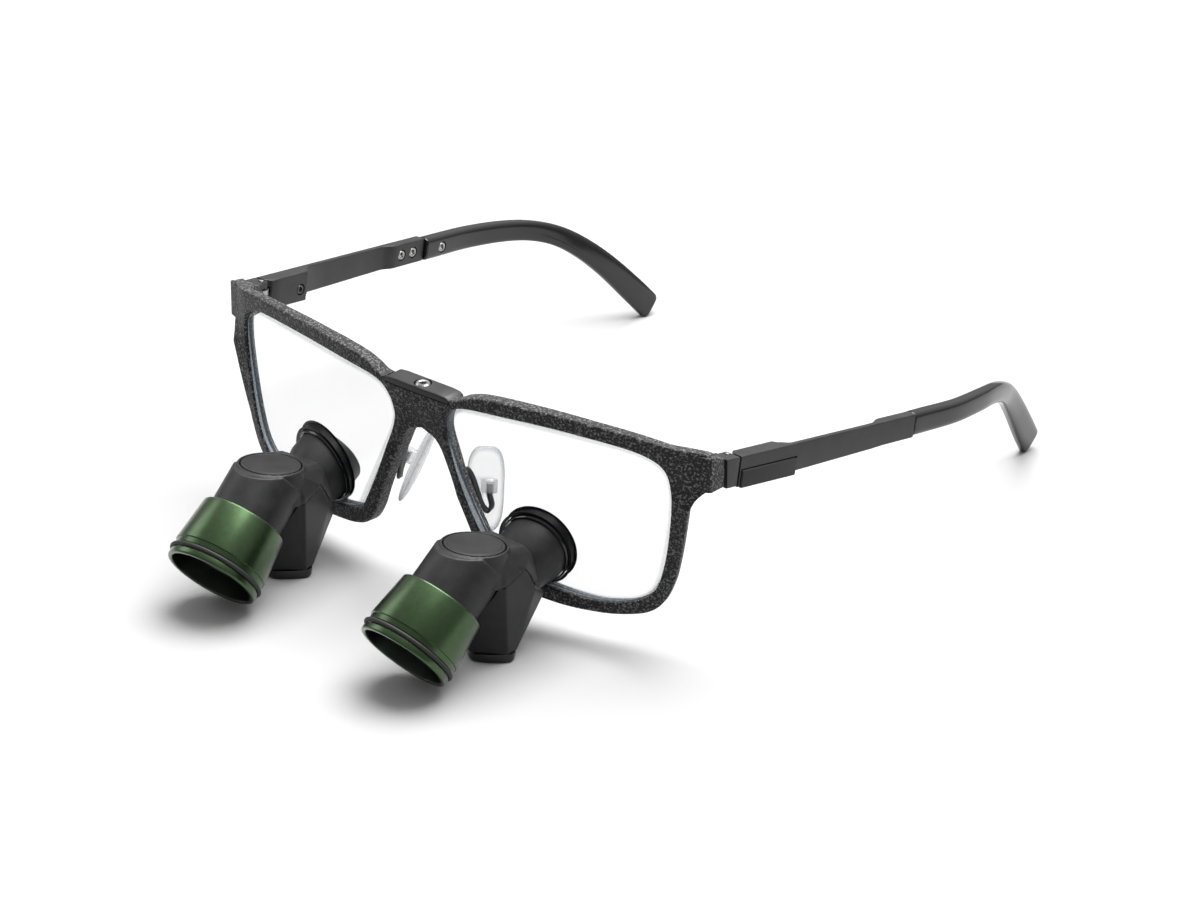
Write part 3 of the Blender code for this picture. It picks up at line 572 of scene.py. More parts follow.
edge_level = figure('MULTIPLY', given["Edge"], -1.0)
head = barrel(40, given["Head Radius"], figure('SUBTRACT', given["Head Height"], given["Edge"]), edge_level)
crown = taper(40, figure('SUBTRACT', given["Head Radius"], given["Edge"]), given["Head Radius"], given["Edge"],
              edge_level)
shank = barrel(20, given["Shank Radius"], given["Shank Length"], figure('MULTIPLY', given["Head Height"], -0.9))
key = barrel(6, given["Socket Radius"], figure('MULTIPLY', given["Socket Depth"], 2.0), given["Socket Depth"])
lead_in = taper(24, figure('MULTIPLY', given["Socket Radius"], 1.3),
                figure('MULTIPLY', given["Socket Radius"], 0.86), 0.16, -0.12)
stack = knot("GeometryNodeMeshBoolean", operation='UNION', solver='EXACT')
for part in (head, crown, shank):
    screw_tree.links.new(part, stack.inputs["Mesh 2"])
bored = knot("GeometryNodeMeshBoolean", {"Mesh 1": stack.outputs["Mesh"]}, operation='DIFFERENCE',
             solver='EXACT')
for part in (key, lead_in):
    screw_tree.links.new(part, bored.inputs["Mesh 2"])
scale = knot("ShaderNodeCombineXYZ", {axis: given["Size"] for axis in "XYZ"})
sized = knot("GeometryNodeTransform", {"Geometry": bored.outputs["Mesh"], "Scale": scale.outputs[0]})
set_out = knot("GeometryNodeInstanceOnPoints", {"Points": given["Geometry"], "Instance": sized.outputs[0],
                                                "Rotation": given["Turn"]})
real = knot("GeometryNodeRealizeInstances", {"Geometry": set_out.outputs[0]})
plated = knot("GeometryNodeSetMaterial", {"Geometry": real.outputs[0], "Material": given["Finish"]})
screw_tree.links.new(plated.outputs[0], screw_tree.nodes.new("NodeGroupOutput").inputs[0])


def screws(name, heads, turn, body, nodes, finish, **sizes):
    """Socket screws at the given head centres, all facing one way, as one plain mesh."""
    mesh = bpy.data.meshes.new(name)
    mesh.from_pydata([tuple(head) for head in heads], [], [])
    made = bpy.data.objects.new(name, mesh)
    bpy.context.scene.collection.objects.link(made)
    step = made.modifiers.new("Screws", 'NODES')
    step.node_group = screw_tree
    step[screw_inputs["Turn"]] = turn
    step[screw_inputs["Finish"]] = finish.material
    for label, value in sizes.items():
        step[screw_inputs[label.replace("_", " ")]] = value
    bpy.context.view_layer.update()
    plain = bpy.data.meshes.new_from_object(made.evaluated_get(bpy.context.evaluated_depsgraph_get()))
    made.modifiers.clear()
    made.data = plain
    bpy.data.meshes.remove(mesh)
    plain.name = name
    plain.shade_smooth()
    plain.set_sharp_from_angle(angle=math.radians(25.0))
    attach(made, body)
    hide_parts(*nodes)


screws("bridge_socket_screw", [DATUM @ Vector((0.0, BRIDGE_SCREW_Y, 49.85))], (0.0, 0.0, 0.3), "front",
       ["bridge_screw"], steel, Head_Radius=1.65, Head_Height=1.25, Socket_Radius=0.85, Socket_Depth=0.65,
       Shank_Radius=0.8, Shank_Length=4.6, Edge=0.28)


# ---------------------------------------------------------------- carrier lenses and bonding collars
# Clear plastic lenses snapped into the front's groove, each bored for its telescope. A gloss black
# collar hides the adhesive between the lens and the eyepiece tube.
SIDES = (("left", 1), ("right", -1))
CONVERGENCE = math.radians(4.33)
LOUPE_AT = Vector((29.35, -39.6, 0.0))
EYEPIECE_AT, EYEPIECE_PITCH = Vector((0.0, 18.1, 19.7)), -65.0
EYEPIECE_TURN = Euler((math.radians(90.0 + EYEPIECE_PITCH), 0.0, -CONVERGENCE)).to_matrix()
EYEPIECE_AXIS = EYEPIECE_TURN @ Vector((0.0, 1.0, 0.0))
EYEPIECE_CENTRE = LOUPE_AT + Euler((0.0, 0.0, -CONVERGENCE)).to_matrix() @ EYEPIECE_AT
LENS_HOLE, LENS_THICKNESS, LENS_CROWN = 8.35, 1.8, 3.4


def lens_y(x, z):
    """The lens bulges forwards from the front's groove."""
    crown = (1 - ((x - 34.0) / 28.5) ** 2) * (1 - ((z - 30.0) / 22.0) ** 2)
    return front_y(x, z) + 1.0 - LENS_CROWN * max(0.0, crown)


def around_eyepiece(angle, radius, depth):
    """Where a line along the eyepiece, at a radius from its axis, meets the lens."""
    point = EYEPIECE_CENTRE + EYEPIECE_TURN @ Vector((math.cos(angle), 0.0, math.sin(angle))) * radius
    for _ in range(10):
        point += EYEPIECE_AXIS * ((lens_y(point.x, point.z) + depth - point.y) / EYEPIECE_AXIS.y)
    return point


def carrier(side):
    """A lens as one section carried round the eyepiece's hole, out to the groove."""
    centre = Vector((EYEPIECE_CENTRE.x, EYEPIECE_CENTRE.z))
    sections, edges = [], []
    for step in range(120):
        angle = math.tau * step / 120
        way = Vector((math.cos(angle), math.sin(angle)))
        edge = ray_length(centre, angle, opening_path)
        inside = centre + way * (edge - 0.7)
        band = centre + way * (edge - 1.25)
        section = []
        for depth, forward in ((0.0, True), (LENS_THICKNESS, False)):
            hole = around_eyepiece(angle, LENS_HOLE, depth).xz
            outward = (hole - centre).normalized()
            row = [(hole, -1.0), (hole + outward * 0.55, -1.0), (hole + outward * 0.62, 0.0)]
            row += [(hole.lerp(band, part), 0.0) for part in (0.15, 0.35, 0.55, 0.75, 0.9, 1.0)]
            row += [(inside, 1.0)]
            for p, rim in row if forward else reversed(row):
                section.append((side * p.x, lens_y(p.x, p.y) + depth, p.y))
                edges.append(rim)
            if forward:
                for reach, groove in ((-0.35, 1.0), (0.45, 1.4), (-0.35, 1.8)):
                    p = front_point(centre + way * (edge + reach), groove)
                    section.append((side * p.x, p.y, p.z))
                    edges.append(1.0)
        sections.append(section)
    shape = skin(sections, round_trip=True)
    # rim is 1 where the edge shows through and -1 on the black bond round the hole
    rim_layer = shape.verts.layers.float.new("rim")
    for vertex, rim in zip(shape.verts, edges):
        vertex[rim_layer] = rim
    return shape


clear = Finish("clear_lens", IOR=1.5, Specular=0.15)
rim = clear.node("ShaderNodeAttribute", {"attribute_name": "rim"}, out="Fac")
# the lens turns more opaque over its grey tint where it is seen at a grazing angle: a painted reflection
grazing_reflection_weight = clear.node("ShaderNodeLayerWeight", None, {"Blend": 0.35}, out="Fresnel")
smear = clear.noise(60.0, 2.0, 0.5)
bond = clear.range(rim, -0.35, -0.65)
edge_band = clear.range(rim, 0.0, 1.0)
clear.set("Roughness", 0.03 + bond * 0.3)
tint = clear.blend(edge_band, (0.16, 0.17, 0.18), (0.40, 0.46, 0.51))
clear.set("Base Color", clear.blend(bond, tint, (0.004, 0.004, 0.005)))
opacity_with_painted_reflection = 0.025 + smear * 0.02 + grazing_reflection_weight * 0.08 + edge_band * 0.30 + bond
clear.set("Alpha", clear.range(opacity_with_painted_reflection, 0.0, 1.0))

gloss = Finish("gloss_black", Specular=0.5)
haze = gloss.noise(400.0, 3.0, 0.55)
gloss.set("Base Color", gloss.blend(haze, (0.004, 0.004, 0.0045), (0.010, 0.010, 0.011)))
gloss.set("Roughness", 0.09 + haze * 0.09)
gloss.bump(haze, 0.02, 0.25)

COLLAR = ((8.15, 0.0), (8.12, -0.25), (8.03, -0.4), (7.90, -0.4), (7.78, -0.3), (7.78, 2.2), (8.15, 2.2))
for side_name, side in SIDES:
    piece("lens_" + side_name, carrier(side), DATUM, clear, "front", ["carrier_lens_" + side_name],
          50.0)
    collar = []
    for step in range(96):
        row = [around_eyepiece(math.tau * step / 96, radius, depth) for radius, depth in COLLAR]
        collar.append([(side * p.x, p.y, p.z) for p in row])
    piece("bonding_collar_" + side_name, skin(collar, round_trip=True), DATUM, gloss, "front",
          ["eyepiece_collar_" + side_name])


# ---------------------------------------------------------------- objective sleeve and its optics
# Turned aluminium, satin anodised green, with a groove for the rubber ring that takes a filter or
# lamp. The objective sits deep inside behind a threaded black retaining ring.
def rounded(profile, radius=0.15, segments=3):
    """The same profile with each corner off the axis rounded."""
    points = []
    count = len(profile)
    for index, (r, h) in enumerate(profile):
        before, after = profile[index - 1], profile[(index + 1) % count]
        here = Vector((r, h))
        to_before, to_after = Vector(before) - here, Vector(after) - here
        reach = min(radius, to_before.length * 0.45, to_after.length * 0.45)
        if r < 1e-6 or reach < 0.01 or to_before.angle(to_after) > math.radians(165.0):
            points.append((r, h))
            continue
        start, end = here + to_before.normalized() * reach, here + to_after.normalized() * reach
        for step in range(segments + 1):
            t = step / segments
            p = start * (1 - t) ** 2 + here * 2 * t * (1 - t) + end * t ** 2
            points.append((p.x, p.y))
    return points


def with_height(shape):
    """Keeps each point's place along the turning axis, and whether it lies in the blackened bore."""
    layer, inner = shape.verts.layers.float.new("along"), shape.verts.layers.float.new("bore")
    for vertex in shape.verts:
        vertex[layer] = vertex.co.z
        vertex[inner] = 1.0 if vertex.co.xy.length < BORE_RADIUS and vertex.co.z > 0.05 else 0.0
    return shape


BORE_RADIUS = 9.62
SLEEVE = [(9.55, 14.5), (9.75, 14.7), (10.4, 14.7), (10.6, 14.4), (10.6, 13.2), (9.7, 13.2), (9.7, 11.9),
          (10.5, 11.9), (10.5, 10.6), (10.8, 10.6), (9.75, 0.3), (9.5, 0.0), (8.6, 0.0), (8.6, 4.6), (7.7, 4.6),
          (7.7, 5.2), (9.3, 5.2), (9.3, 9.6), (9.55, 9.9)]
O_RING = [(10.6 + 0.5 * math.cos(math.tau * step / 16), 12.55 + 0.5 * math.sin(math.tau * step / 16))
          for step in range(16)]
RETAINER = [(7.8, 9.6), (9.1, 9.6), (9.1, 8.5), (8.1, 8.5), (7.6, 9.0)]
OBJECTIVE = [(0.0, 8.2), (1.8, 8.16), (3.5, 8.05), (6.0, 7.75), (7.6, 7.4), (8.75, 7.05), (9.0, 6.9),
             (9.0, 5.5), (0.0, 5.5)]

green = Finish("green_anodised_aluminium", Metallic=1.0, Coat=0.6, Coat_Roughness=0.3)
along = green.node("ShaderNodeAttribute", {"attribute_name": "along"}, out="Fac")
tool_marks = green.noise(14.0, 3.0, 0.7, along, '1D')
dye = green.noise(700.0, 3.0, 0.6)
speck = green.noise(9000.0, 1.0, 0.5)
skin_dye = green.blend(dye * 0.6 + speck * 0.4, (0.018, 0.046, 0.013), (0.056, 0.108, 0.038))
bore = green.node("ShaderNodeAttribute", {"attribute_name": "bore"}, out="Fac")
green.set("Base Color", green.blend(bore, skin_dye, (0.060, 0.078, 0.060)))
green.set("Roughness", 0.30 + (tool_marks - 0.5) * 0.12 + (speck - 0.5) * 0.14)
green.bump(tool_marks + speck * 0.6, 0.008, 0.5)

rubber = Finish("moulded_rubber", Specular=0.35)
skin_grain = rubber.noise(3000.0, 3.0, 0.6)
rubber.set("Base Color", rubber.blend(skin_grain, (0.010, 0.010, 0.010), (0.026, 0.026, 0.026)))
rubber.set("Roughness", 0.50 + skin_grain * 0.22)
rubber.bump(skin_grain, 0.02, 0.5)

coated = Finish("coated_glass", IOR=1.6, Coat=0.6, Roughness=0.04)
tilt = coated.node("ShaderNodeLayerWeight", None, {"Blend": 0.45}, out="Facing")
bloom = coated.noise(90.0, 2.0, 0.5)
coated.set("Base Color", coated.blend(tilt * 0.8 + bloom * 0.25,
                                      (0.008, 0.020, 0.016), (0.030, 0.018, 0.055)))


def pitched(at, pitch):
    """A point and a pitch in a telescope's own frame."""
    return Matrix.Translation(at) @ Matrix.Rotation(math.radians(pitch), 4, 'X')


def pair(name, shape, axis, finish, node, crisp=35.0):
    """The same piece on both telescopes, which converge a little."""
    for side_name, side in SIDES:
        stand = Matrix.Translation((side * LOUPE_AT.x, LOUPE_AT.y, LOUPE_AT.z))
        turn = Matrix.Rotation(-side * CONVERGENCE, 4, 'Z')
        piece(name + side_name, shape.copy(), DATUM @ stand @ turn @ axis, finish, "front", [node + side_name],
              crisp)
    shape.free()


objective_axis = pitched((0.0, -8.45, 17.42), 128.1)
pair("green_sleeve_", with_height(turned(rounded(SLEEVE, 0.12), 128)), objective_axis, green,
     "objective_sleeve_", 40.0)
pair("rubber_ring_", turned(O_RING, 128), objective_axis, rubber, "o_ring_")
pair("threaded_ring_", turned(rounded(RETAINER, 0.08), 96), objective_axis, satin, "retaining_ring_")
pair("objective_glass_", turned(OBJECTIVE, 96), objective_axis, coated, "objective_lens_")


# ---------------------------------------------------------------- prism housing
# Two matte moulded shells: an upper one with the front tube and the round cap over the prism, and a
# lower one that narrows to a gloss cover. Their edges are softly rounded as they leave the mould.
LOWER_BODY = [
    (0.0, -0.4, 2.1), (6.4, 4.4, 2.1), (6.0, 7.4, 2.1), (3.5, 8.7, 2.1), (0.0, -4.3, 19.6), (8.5, 2.1, 19.6),
    (8.0, 8.3, 21.6), (7.5, 11.7, 15.4), (5.5, 16.2, 12.4), (0.0, 16.8, 12.2)]
UPPER_BODY = [
    (7.0, 1.0, 26.9), (5.3, 5.6, 26.7), (5.0, 11.0, 25.2), (6.0, 11.9, 23.7), (8.0, 8.3, 21.7),
    (8.5, 2.1, 21.0), (8.5, 2.1, 19.9), (7.6, -1.2, 19.9), (7.5, 11.7, 15.4), (7.4, 12.6, 17.0),
    (5.0, 13.2, 21.0)]
PRISM_CORE = [
    (0.0, 2.4, 4.2), (4.4, 5.0, 4.2), (4.2, 6.8, 4.2), (0.0, 0.4, 19.0), (6.6, 2.6, 19.5), (6.4, 9.0, 19.5),
    (5.6, 2.4, 24.4), (4.4, 7.0, 24.2), (0.0, 10.2, 12.0), (5.0, 9.6, 13.0)]


def hull(points, grow=0.0):
    """The convex block around points given for one half."""
    shape = bmesh.new()
    middle = Vector((0.0, 5.5, 14.0))
    for point in points:
        away = Vector(point) - middle
        p = middle + away * (1 + grow / away.length)
        shape.verts.new(p)
        if p.x > 0.01:
            shape.verts.new((-p.x, p.y, p.z))
    found = bmesh.ops.convex_hull(shape, input=shape.verts)
    loose = [item for item in found["geom_interior"] if isinstance(item, bmesh.types.BMVert)]
    bmesh.ops.delete(shape, geom=loose, context='VERTS')
    return shape


def softened(shape, voxel, rounds):
    """Moulded edges: the shape is remeshed finely and its edges worn round."""
    thing = fresh_object(shape)
    remesh = thing.modifiers.new("moulded", 'REMESH')
    remesh.mode = 'VOXEL'
    remesh.voxel_size = voxel
    ease = thing.modifiers.new("eased", 'SMOOTH')
    ease.factor = 0.5
    ease.iterations = rounds
    thin = thing.modifiers.new("thinned", 'DECIMATE')
    thin.ratio = 0.3
    return settled(thing)


eyepiece_axis = pitched(EYEPIECE_AT, EYEPIECE_PITCH)
cap_face = pitched((0.0, 1.12, 27.33), -7.1)


def prism_room():
    return hull(PRISM_CORE, 0.45)


def eyepiece_room():
    profile = [(0.0, 3.0), (7.9, 3.0), (7.9, 0.0), (6.6, -7.0), (5.0, -7.0), (5.0, -12.0), (0.0, -12.0)]
    return turned(profile, 64, eyepiece_axis)


above_cap = block((-12.0, -16.0, -0.35), (12.0, 14.2, 12.0))
bmesh.ops.transform(above_cap, matrix=cap_face, verts=above_cap.verts)
tube = turned([(0.0, 4.3), (7.9, 4.3), (8.2, 4.0), (8.2, -10.5), (0.0, -10.5)], 96, objective_axis)
drum = turned(rounded([(0.0, 0.0), (7.2, 0.0), (7.5, -0.3), (8.3, -7.6), (0.0, -7.6)], 0.3), 96, cap_face)
upper_shell = carve(
    tube, ('DIFFERENCE', above_cap), ('UNION', drum), ('UNION', hull(UPPER_BODY)),
    ('DIFFERENCE', turned([(0.0, 2.0), (6.85, 2.0), (6.85, -1.2), (0.0, -1.2)], 90, cap_face)),
    ('DIFFERENCE', hull(LOWER_BODY, 0.1)), ('DIFFERENCE', prism_room()),
    ('DIFFERENCE', turned([(0.0, 6.0), (6.4, 6.0), (6.4, -9.0), (0.0, -9.0)], 64, objective_axis)),
    ('DIFFERENCE', eyepiece_room()))
lower_shell = carve(
    hull(LOWER_BODY),
    ('DIFFERENCE', turned([(0.0, 6.0), (8.3, 6.0), (8.3, -13.0), (0.0, -13.0)], 96, objective_axis)),
    ('DIFFERENCE', turned([(0.0, 1.0), (7.6, 0.0), (8.4, -7.7), (0.0, -7.7)], 96, cap_face)),
    ('DIFFERENCE', prism_room()), ('DIFFERENCE', eyepiece_room()))
CAP = [(0.0, 0.0), (5.75, 0.0), (5.85, -0.06), (5.95, 0.0), (6.3, 0.0), (6.48, -0.05), (6.58, -0.2),
       (6.6, -0.4), (6.6, -1.0), (0.0, -1.0)]

foot = [(x * 0.97, 0.3 + y * 0.95) for x, y, z in LOWER_BODY[:4]]
foot += [(-x, y) for x, y in reversed(foot[1:])]
foot_path = smooth_path(foot, True, 6)
FOOT_MIDDLE = 4.6
COVER = ((0.0, 0.90), (0.08, 0.94), (0.3, 0.975), (0.7, 0.99), (1.3, 0.995), (1.95, 1.0), (2.05, 0.995))
cover_layers = [[(p.x * size, FOOT_MIDDLE + (p.y - FOOT_MIDDLE) * size, level) for p in foot_path]
                for level, size in COVER]

polymer = Finish("matte_moulded_polymer", Specular=0.30)
spark = polymer.noise(5200.0, 2.0, 0.6)
wash = polymer.noise(320.0, 2.0, 0.5)
polymer.set("Base Color", polymer.blend(polymer.range(spark + wash, 0.75, 1.3),
                                        (0.010, 0.010, 0.0105), (0.020, 0.020, 0.021)))
polymer.set("Roughness", 0.46 + (spark - 0.5) * 0.2 + (wash - 0.5) * 0.12)
polymer.bump(spark, 0.03, 0.5)

in_place, voxel = Matrix(), 0.2
pair("upper_shell_", softened(upper_shell, voxel, 4), in_place, polymer, "prism_housing_",
     None)
pair("lower_shell_", softened(lower_shell, voxel, 3), in_place, polymer, "lower_housing_",
     None)
pair("round_cap_", turned(CAP, 96), cap_face, polymer, "top_cap_", 30.0)
pair("gloss_cover_", skin(cover_layers), in_place, gloss, "bottom_cover_", 40.0)

glass = Finish("prism_glass", Transmission=1.0, IOR=1.57, Roughness=0.02)
melt = glass.noise(120.0, 2.0, 0.5)
glass.set("Base Color", glass.blend(melt, (0.90, 0.95, 0.93), (0.97, 0.98, 0.97)))


def refinish(node_name, finish):
    """A piece that keeps its plain solid takes a better finish."""
    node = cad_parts[node_name]
    node.data.materials.clear()
    node.data.materials.append(finish.material)


for side_name, side in SIDES:
    refinish("prism_" + side_name, glass)


# ---------------------------------------------------------------- eyepieces
# A turned black tube passes through the bored lens and is bonded there; its eye lens sits just
# inside the rear lip, under a purple-green coating.
TUBE = [(6.6, 4.6), (7.2, 4.6), (7.6, 4.2), (7.6, -0.5), (6.25, -6.6), (5.0, -6.6), (5.0, 1.6), (6.6, 1.6)]
EYE_LENS = [(0.0, 3.9), (1.8, 3.86), (3.5, 3.7), (5.2, 3.35), (6.2, 3.02), (6.3, 2.9), (6.3, 2.0), (0.0, 2.0)]
pair("eye_tube_", turned(rounded(TUBE, 0.2), 96), eyepiece_axis, polymer, "eyepiece_tube_")
pair("eye_glass_", turned(EYE_LENS, 96), eyepiece_axis, coated, "eyepiece_lens_")


# ---------------------------------------------------------------- nose pads and their wires
# Clear silicone pads, each moulded round a boss that rocks on a black lacquered wire. The wire is
# pressed into the back of the front beside the bridge.
PAD_PIVOT = Vector((12.0, -14.0, 26.2))
PAD_TURN = (-12.0, -22.0, -26.0)
PAD_MIDDLE, PAD_SQUARE = -0.8, 3.0
WIRE_ROUTE = [WIRE_START, (8.95, -17.9, 30.5), (9.8, -17.1, 28.6), (11.2, -17.0, 25.2), (12.0, -16.5, 22.4),
              (12.8, -15.7, 21.2), (13.2, -14.8, 22.2)]


def pad(side):
    """A crowned oval, squared a little at its corners, with a bored boss on the side of its wire."""
    shape = bmesh.new()
    bmesh.ops.create_cube(shape, size=1.0)
    for vertex in shape.verts:
        vertex.co = (vertex.co.x * 3.1 - side * 2.9, vertex.co.y * 10.4, vertex.co.z * 22.0 + PAD_MIDDLE)
    thing = fresh_object(shape)
    soften = thing.modifiers.new("soft form", 'SUBSURF')
    soften.levels = soften.render_levels = 4
    shape = settled(thing)
    tall = max(abs(vertex.co.z - PAD_MIDDLE) for vertex in shape.verts)
    wide = max(abs(vertex.co.y) for vertex in shape.verts)
    for vertex in shape.verts:
        across, up = vertex.co.y / wide, (vertex.co.z - PAD_MIDDLE) / tall
        reach = math.hypot(across, up)
        if reach > 0.01:
            round_ways = (abs(across) / reach) ** PAD_SQUARE + (abs(up) / reach) ** PAD_SQUARE
            fuller = round_ways ** (-1 / PAD_SQUARE)
            vertex.co.y, vertex.co.z = vertex.co.y * fuller, (vertex.co.z - PAD_MIDDLE) * fuller + PAD_MIDDLE
    boss = block((side * -2.4, -1.4, -1.6), (side * 1.4, 1.4, 1.6), 0.5, 4)
    bore = turned([(0.0, 0.9), (0.9, 0.9), (0.9, -3.0), (0.0, -3.0)], 24)
    shape = carve(shape, ('UNION', boss), ('DIFFERENCE', bore))
    # rim is 1 along the pad's edge and a half on the boss; there the pad is painted a darker grey as painted
    # shade
    lip = shape.verts.layers.float.new("rim")
    for vertex in shape.verts:
        across, up = abs(vertex.co.y) / wide, abs(vertex.co.z - PAD_MIDDLE) / tall
        reach = (across ** PAD_SQUARE + up ** PAD_SQUARE) ** (1 / PAD_SQUARE)
        bossed = 0.5 if abs(vertex.co.y) < 1.6 and abs(vertex.co.z) < 1.8 else 0.0
        vertex[lip] = max(bossed, min(1.0, max(0.0, (reach - 0.86) / 0.12)))
    return shape


def squared(value, power):
    """A sine or cosine that stays longer near its ends, which squares a round section."""
    return math.copysign(abs(value) ** power, value)


def sweep(points, half_width, half_thickness, wide):
    """A flat wire with rounded edges along a path, its width kept towards one direction."""
    sections = []
    for index, point in enumerate(points):
        ahead = (points[min(index + 1, len(points) - 1)] - points[max(index - 1, 0)]).normalized()
        across = (wide - ahead * wide.dot(ahead)).normalized()
        thick = ahead.cross(across)
        section = []
        for step in range(16):
            a = math.tau * step / 16
            section.append(point + across * half_width * squared(math.cos(a), 0.7)
                           + thick * half_thickness * squared(math.sin(a), 0.7))
        sections.append(section)
    return skin(sections)


silicone = Finish("clear_silicone_pad", IOR=1.42, Specular=0.6)
# the pad is painted a darker grey and made more opaque where it is seen edge-on and along its rim and boss:
# painted shade at its outlines; the cloudy noise in its opacity is the silicone's own
silicone_outline_shade = silicone.node("ShaderNodeLayerWeight", None, {"Blend": 0.5}, out="Facing")
cloudy = silicone.noise(500.0, 2.0, 0.5)
pad_rim_shade = silicone.node("ShaderNodeAttribute", {"attribute_name": "rim"}, out="Fac")
silicone.set("Base Color", silicone.blend(silicone_outline_shade * 0.6 + pad_rim_shade * 0.6,
                                          (0.60, 0.62, 0.64), (0.20, 0.21, 0.23)))
silicone.set("Roughness", 0.12 + cloudy * 0.12)
cloudiness_and_painted_outline = 0.10 + cloudy * 0.05 + (silicone_outline_shade ** 2.2) * 0.5 + pad_rim_shade * 0.38
silicone.set("Alpha", silicone.range(cloudiness_and_painted_outline, 0.0, 1.0))

lacquer = Finish("black_lacquered_wire", Specular=0.5)
drawn = lacquer.noise(2600.0, 2.0, 0.5)
lacquer.set("Base Color", lacquer.blend(drawn, (0.006, 0.006, 0.007), (0.016, 0.016, 0.017)))
lacquer.set("Roughness", 0.3 + drawn * 0.16)



def pad_turn(side):
    lean, roll, toe = PAD_TURN
    return Euler([math.radians(angle) for angle in (lean, side * roll, side * toe)]).to_matrix()


bore_axis = pad_turn(1) @ Vector((0.0, 0.0, 1.0))
wire_points = smooth_path([Vector(p) for p in WIRE_ROUTE] + [PAD_PIVOT - bore_axis * 1.9], False, 8)
wire_points.append(PAD_PIVOT + bore_axis * 0.4)
for side_name, side in SIDES:
    pivot = Matrix.Translation((side * PAD_PIVOT.x, PAD_PIVOT.y, PAD_PIVOT.z)) @ pad_turn(side).to_4x4()
    piece("silicone_pad_" + side_name, pad(side), DATUM @ pivot, silicone, "pad_" + side_name,
          ["nose_pad_" + side_name], 60.0)
    route = [Vector((side * p.x, p.y, p.z)) for p in wire_points]
    piece("pad_wire_" + side_name, sweep(route, 0.70, 0.45, Vector((0.0, 1.0, 0.25))), DATUM, lacquer, "front",
          ["nose_pad_arm_" + side_name])


# ---------------------------------------------------------------- hinges and temples
# A satin hinge block closes on each end piece. A steel tongue on the pin carries the arm, which is
# thinned along its middle; a rubber badge fills its outer recess, left blank.
ARM_OUTER, ARM_INNER, ARM_THIN, BACK_INNER = 2.8, -1.1, 1.5, 0.2
CORE_LEVEL = -2.75
HINGE_AT, HINGE_TILT, HINGE_SPLAY = (67.2, -1.1, 46.6), -9.68, -2.95
ARM_SCREW, CORE_SCREWS, TIP_SCREW = 12.9, (50.3, 54.4), 63.7


def slab_section(along, inner, outer, low, side, edge=0.35):
    """An upright rectangle across the temple with rounded corners."""
    points = []
    for across, up, start in ((outer - edge, -edge, 0.0), (inner + edge, -edge, 90.0),
                              (inner + edge, low + edge, 180.0), (outer - edge, low + edge, 270.0)):
        for step in range(4):
            a = math.radians(start + 30.0 * step)
            points.append((side * (across + edge * math.cos(a)), along, up + edge * math.sin(a)))
    return points


def screw_room(face, along, level, side, length):
    """The counterbore and hole for a screw driven in from the inner side."""
    facing_in = Matrix.Rotation(math.radians(-side * 90.0), 4, 'Y')
    lying = Matrix.Translation((side * face, along, level)) @ facing_in
    profile = [(0.0, 1.0), (1.35, 1.0), (1.35, -0.78), (0.8, -0.78), (0.8, -length), (0.0, -length)]
    return turned(profile, 32, lying)


def core_room(side):
    """The slot that the flat core lies in, in both arm and tip."""
    return block((side * 0.85, 48.3, CORE_LEVEL - 1.5), (side * 2.15, 71.9, CORE_LEVEL + 1.5))


TIP_PATH = [
    # across, along, up, thickness, height, slope in degrees
    (0.95, 58.4, -2.7, 3.6, 5.3, 0.0), (0.9, 62.0, -2.65, 3.7, 5.3, 0.0), (0.6, 74.0, -2.5, 3.6, 5.1, 0.0),
    (-1.4, 85.0, -2.4, 3.5, 4.9, 3.0), (-3.9, 93.0, -2.9, 3.3, 4.8, 12.0), (-6.6, 99.8, -4.6, 3.2, 4.9, 24.0),
    (-9.5, 106.0, -7.8, 3.1, 5.2, 34.0), (-12.4, 113.0, -12.8, 3.0, 5.7, 37.0),
    (-15.2, 120.8, -19.4, 2.9, 6.3, 38.0), (-16.7, 125.5, -23.47, 2.7, 6.3, 38.0)]
TIP_END = [(-16.75, 125.68, -23.62, 2.66, 6.2, 38.0), (-16.87, 125.93, -23.83, 2.4, 5.85, 38.0),
           (-16.95, 126.1, -23.98, 1.9, 5.2, 38.0), (-17.0, 126.2, -24.07, 1.2, 4.3, 38.0)]


def tip(side):
    """A temple tip: superelliptic sections that swing inwards and down."""
    stations = [list(p) for p in smooth_path([Vector(row) for row in TIP_PATH], False, 6)]
    first = stations[0]
    start = [[first[0], first[1] + back, first[2], first[3] - thin, first[4] - thin, 0.0]
             for back, thin in ((0.0, 0.7), (0.08, 0.3), (0.3, 0.06))]
    sections = []
    for across, along, up, thickness, tall, slope in start + stations[1:] + [list(row) for row in TIP_END]:
        lean = math.radians(slope)
        ring = []
        for step in range(36):
            a = math.tau * (step + 0.5) / 36
            sway = squared(math.cos(a), 0.6) * thickness / 2
            rise = squared(math.sin(a), 0.6) * tall / 2
            ring.append((side * (across + sway), along + rise * math.sin(lean), up + rise * math.cos(lean)))
        sections.append(ring)
    return carve(skin(sections), ('DIFFERENCE', core_room(side)),
                 ('DIFFERENCE', screw_room(-0.95, TIP_SCREW, CORE_LEVEL, side, 2.7)))


def smoothed(stations, steps):
    """Stations along the arm with eased steps between the given ones."""
    rows = []
    for first, second in zip(stations, stations[1:]):
        for step in range(steps):
            t = step / steps
            e = t * t * (3 - 2 * t)
            rows.append((first[0] + (second[0] - first[0]) * t, first[1] + (second[1] - first[1]) * e,
                         first[2] + (second[2] - first[2]) * t))
    return rows + [stations[-1]]


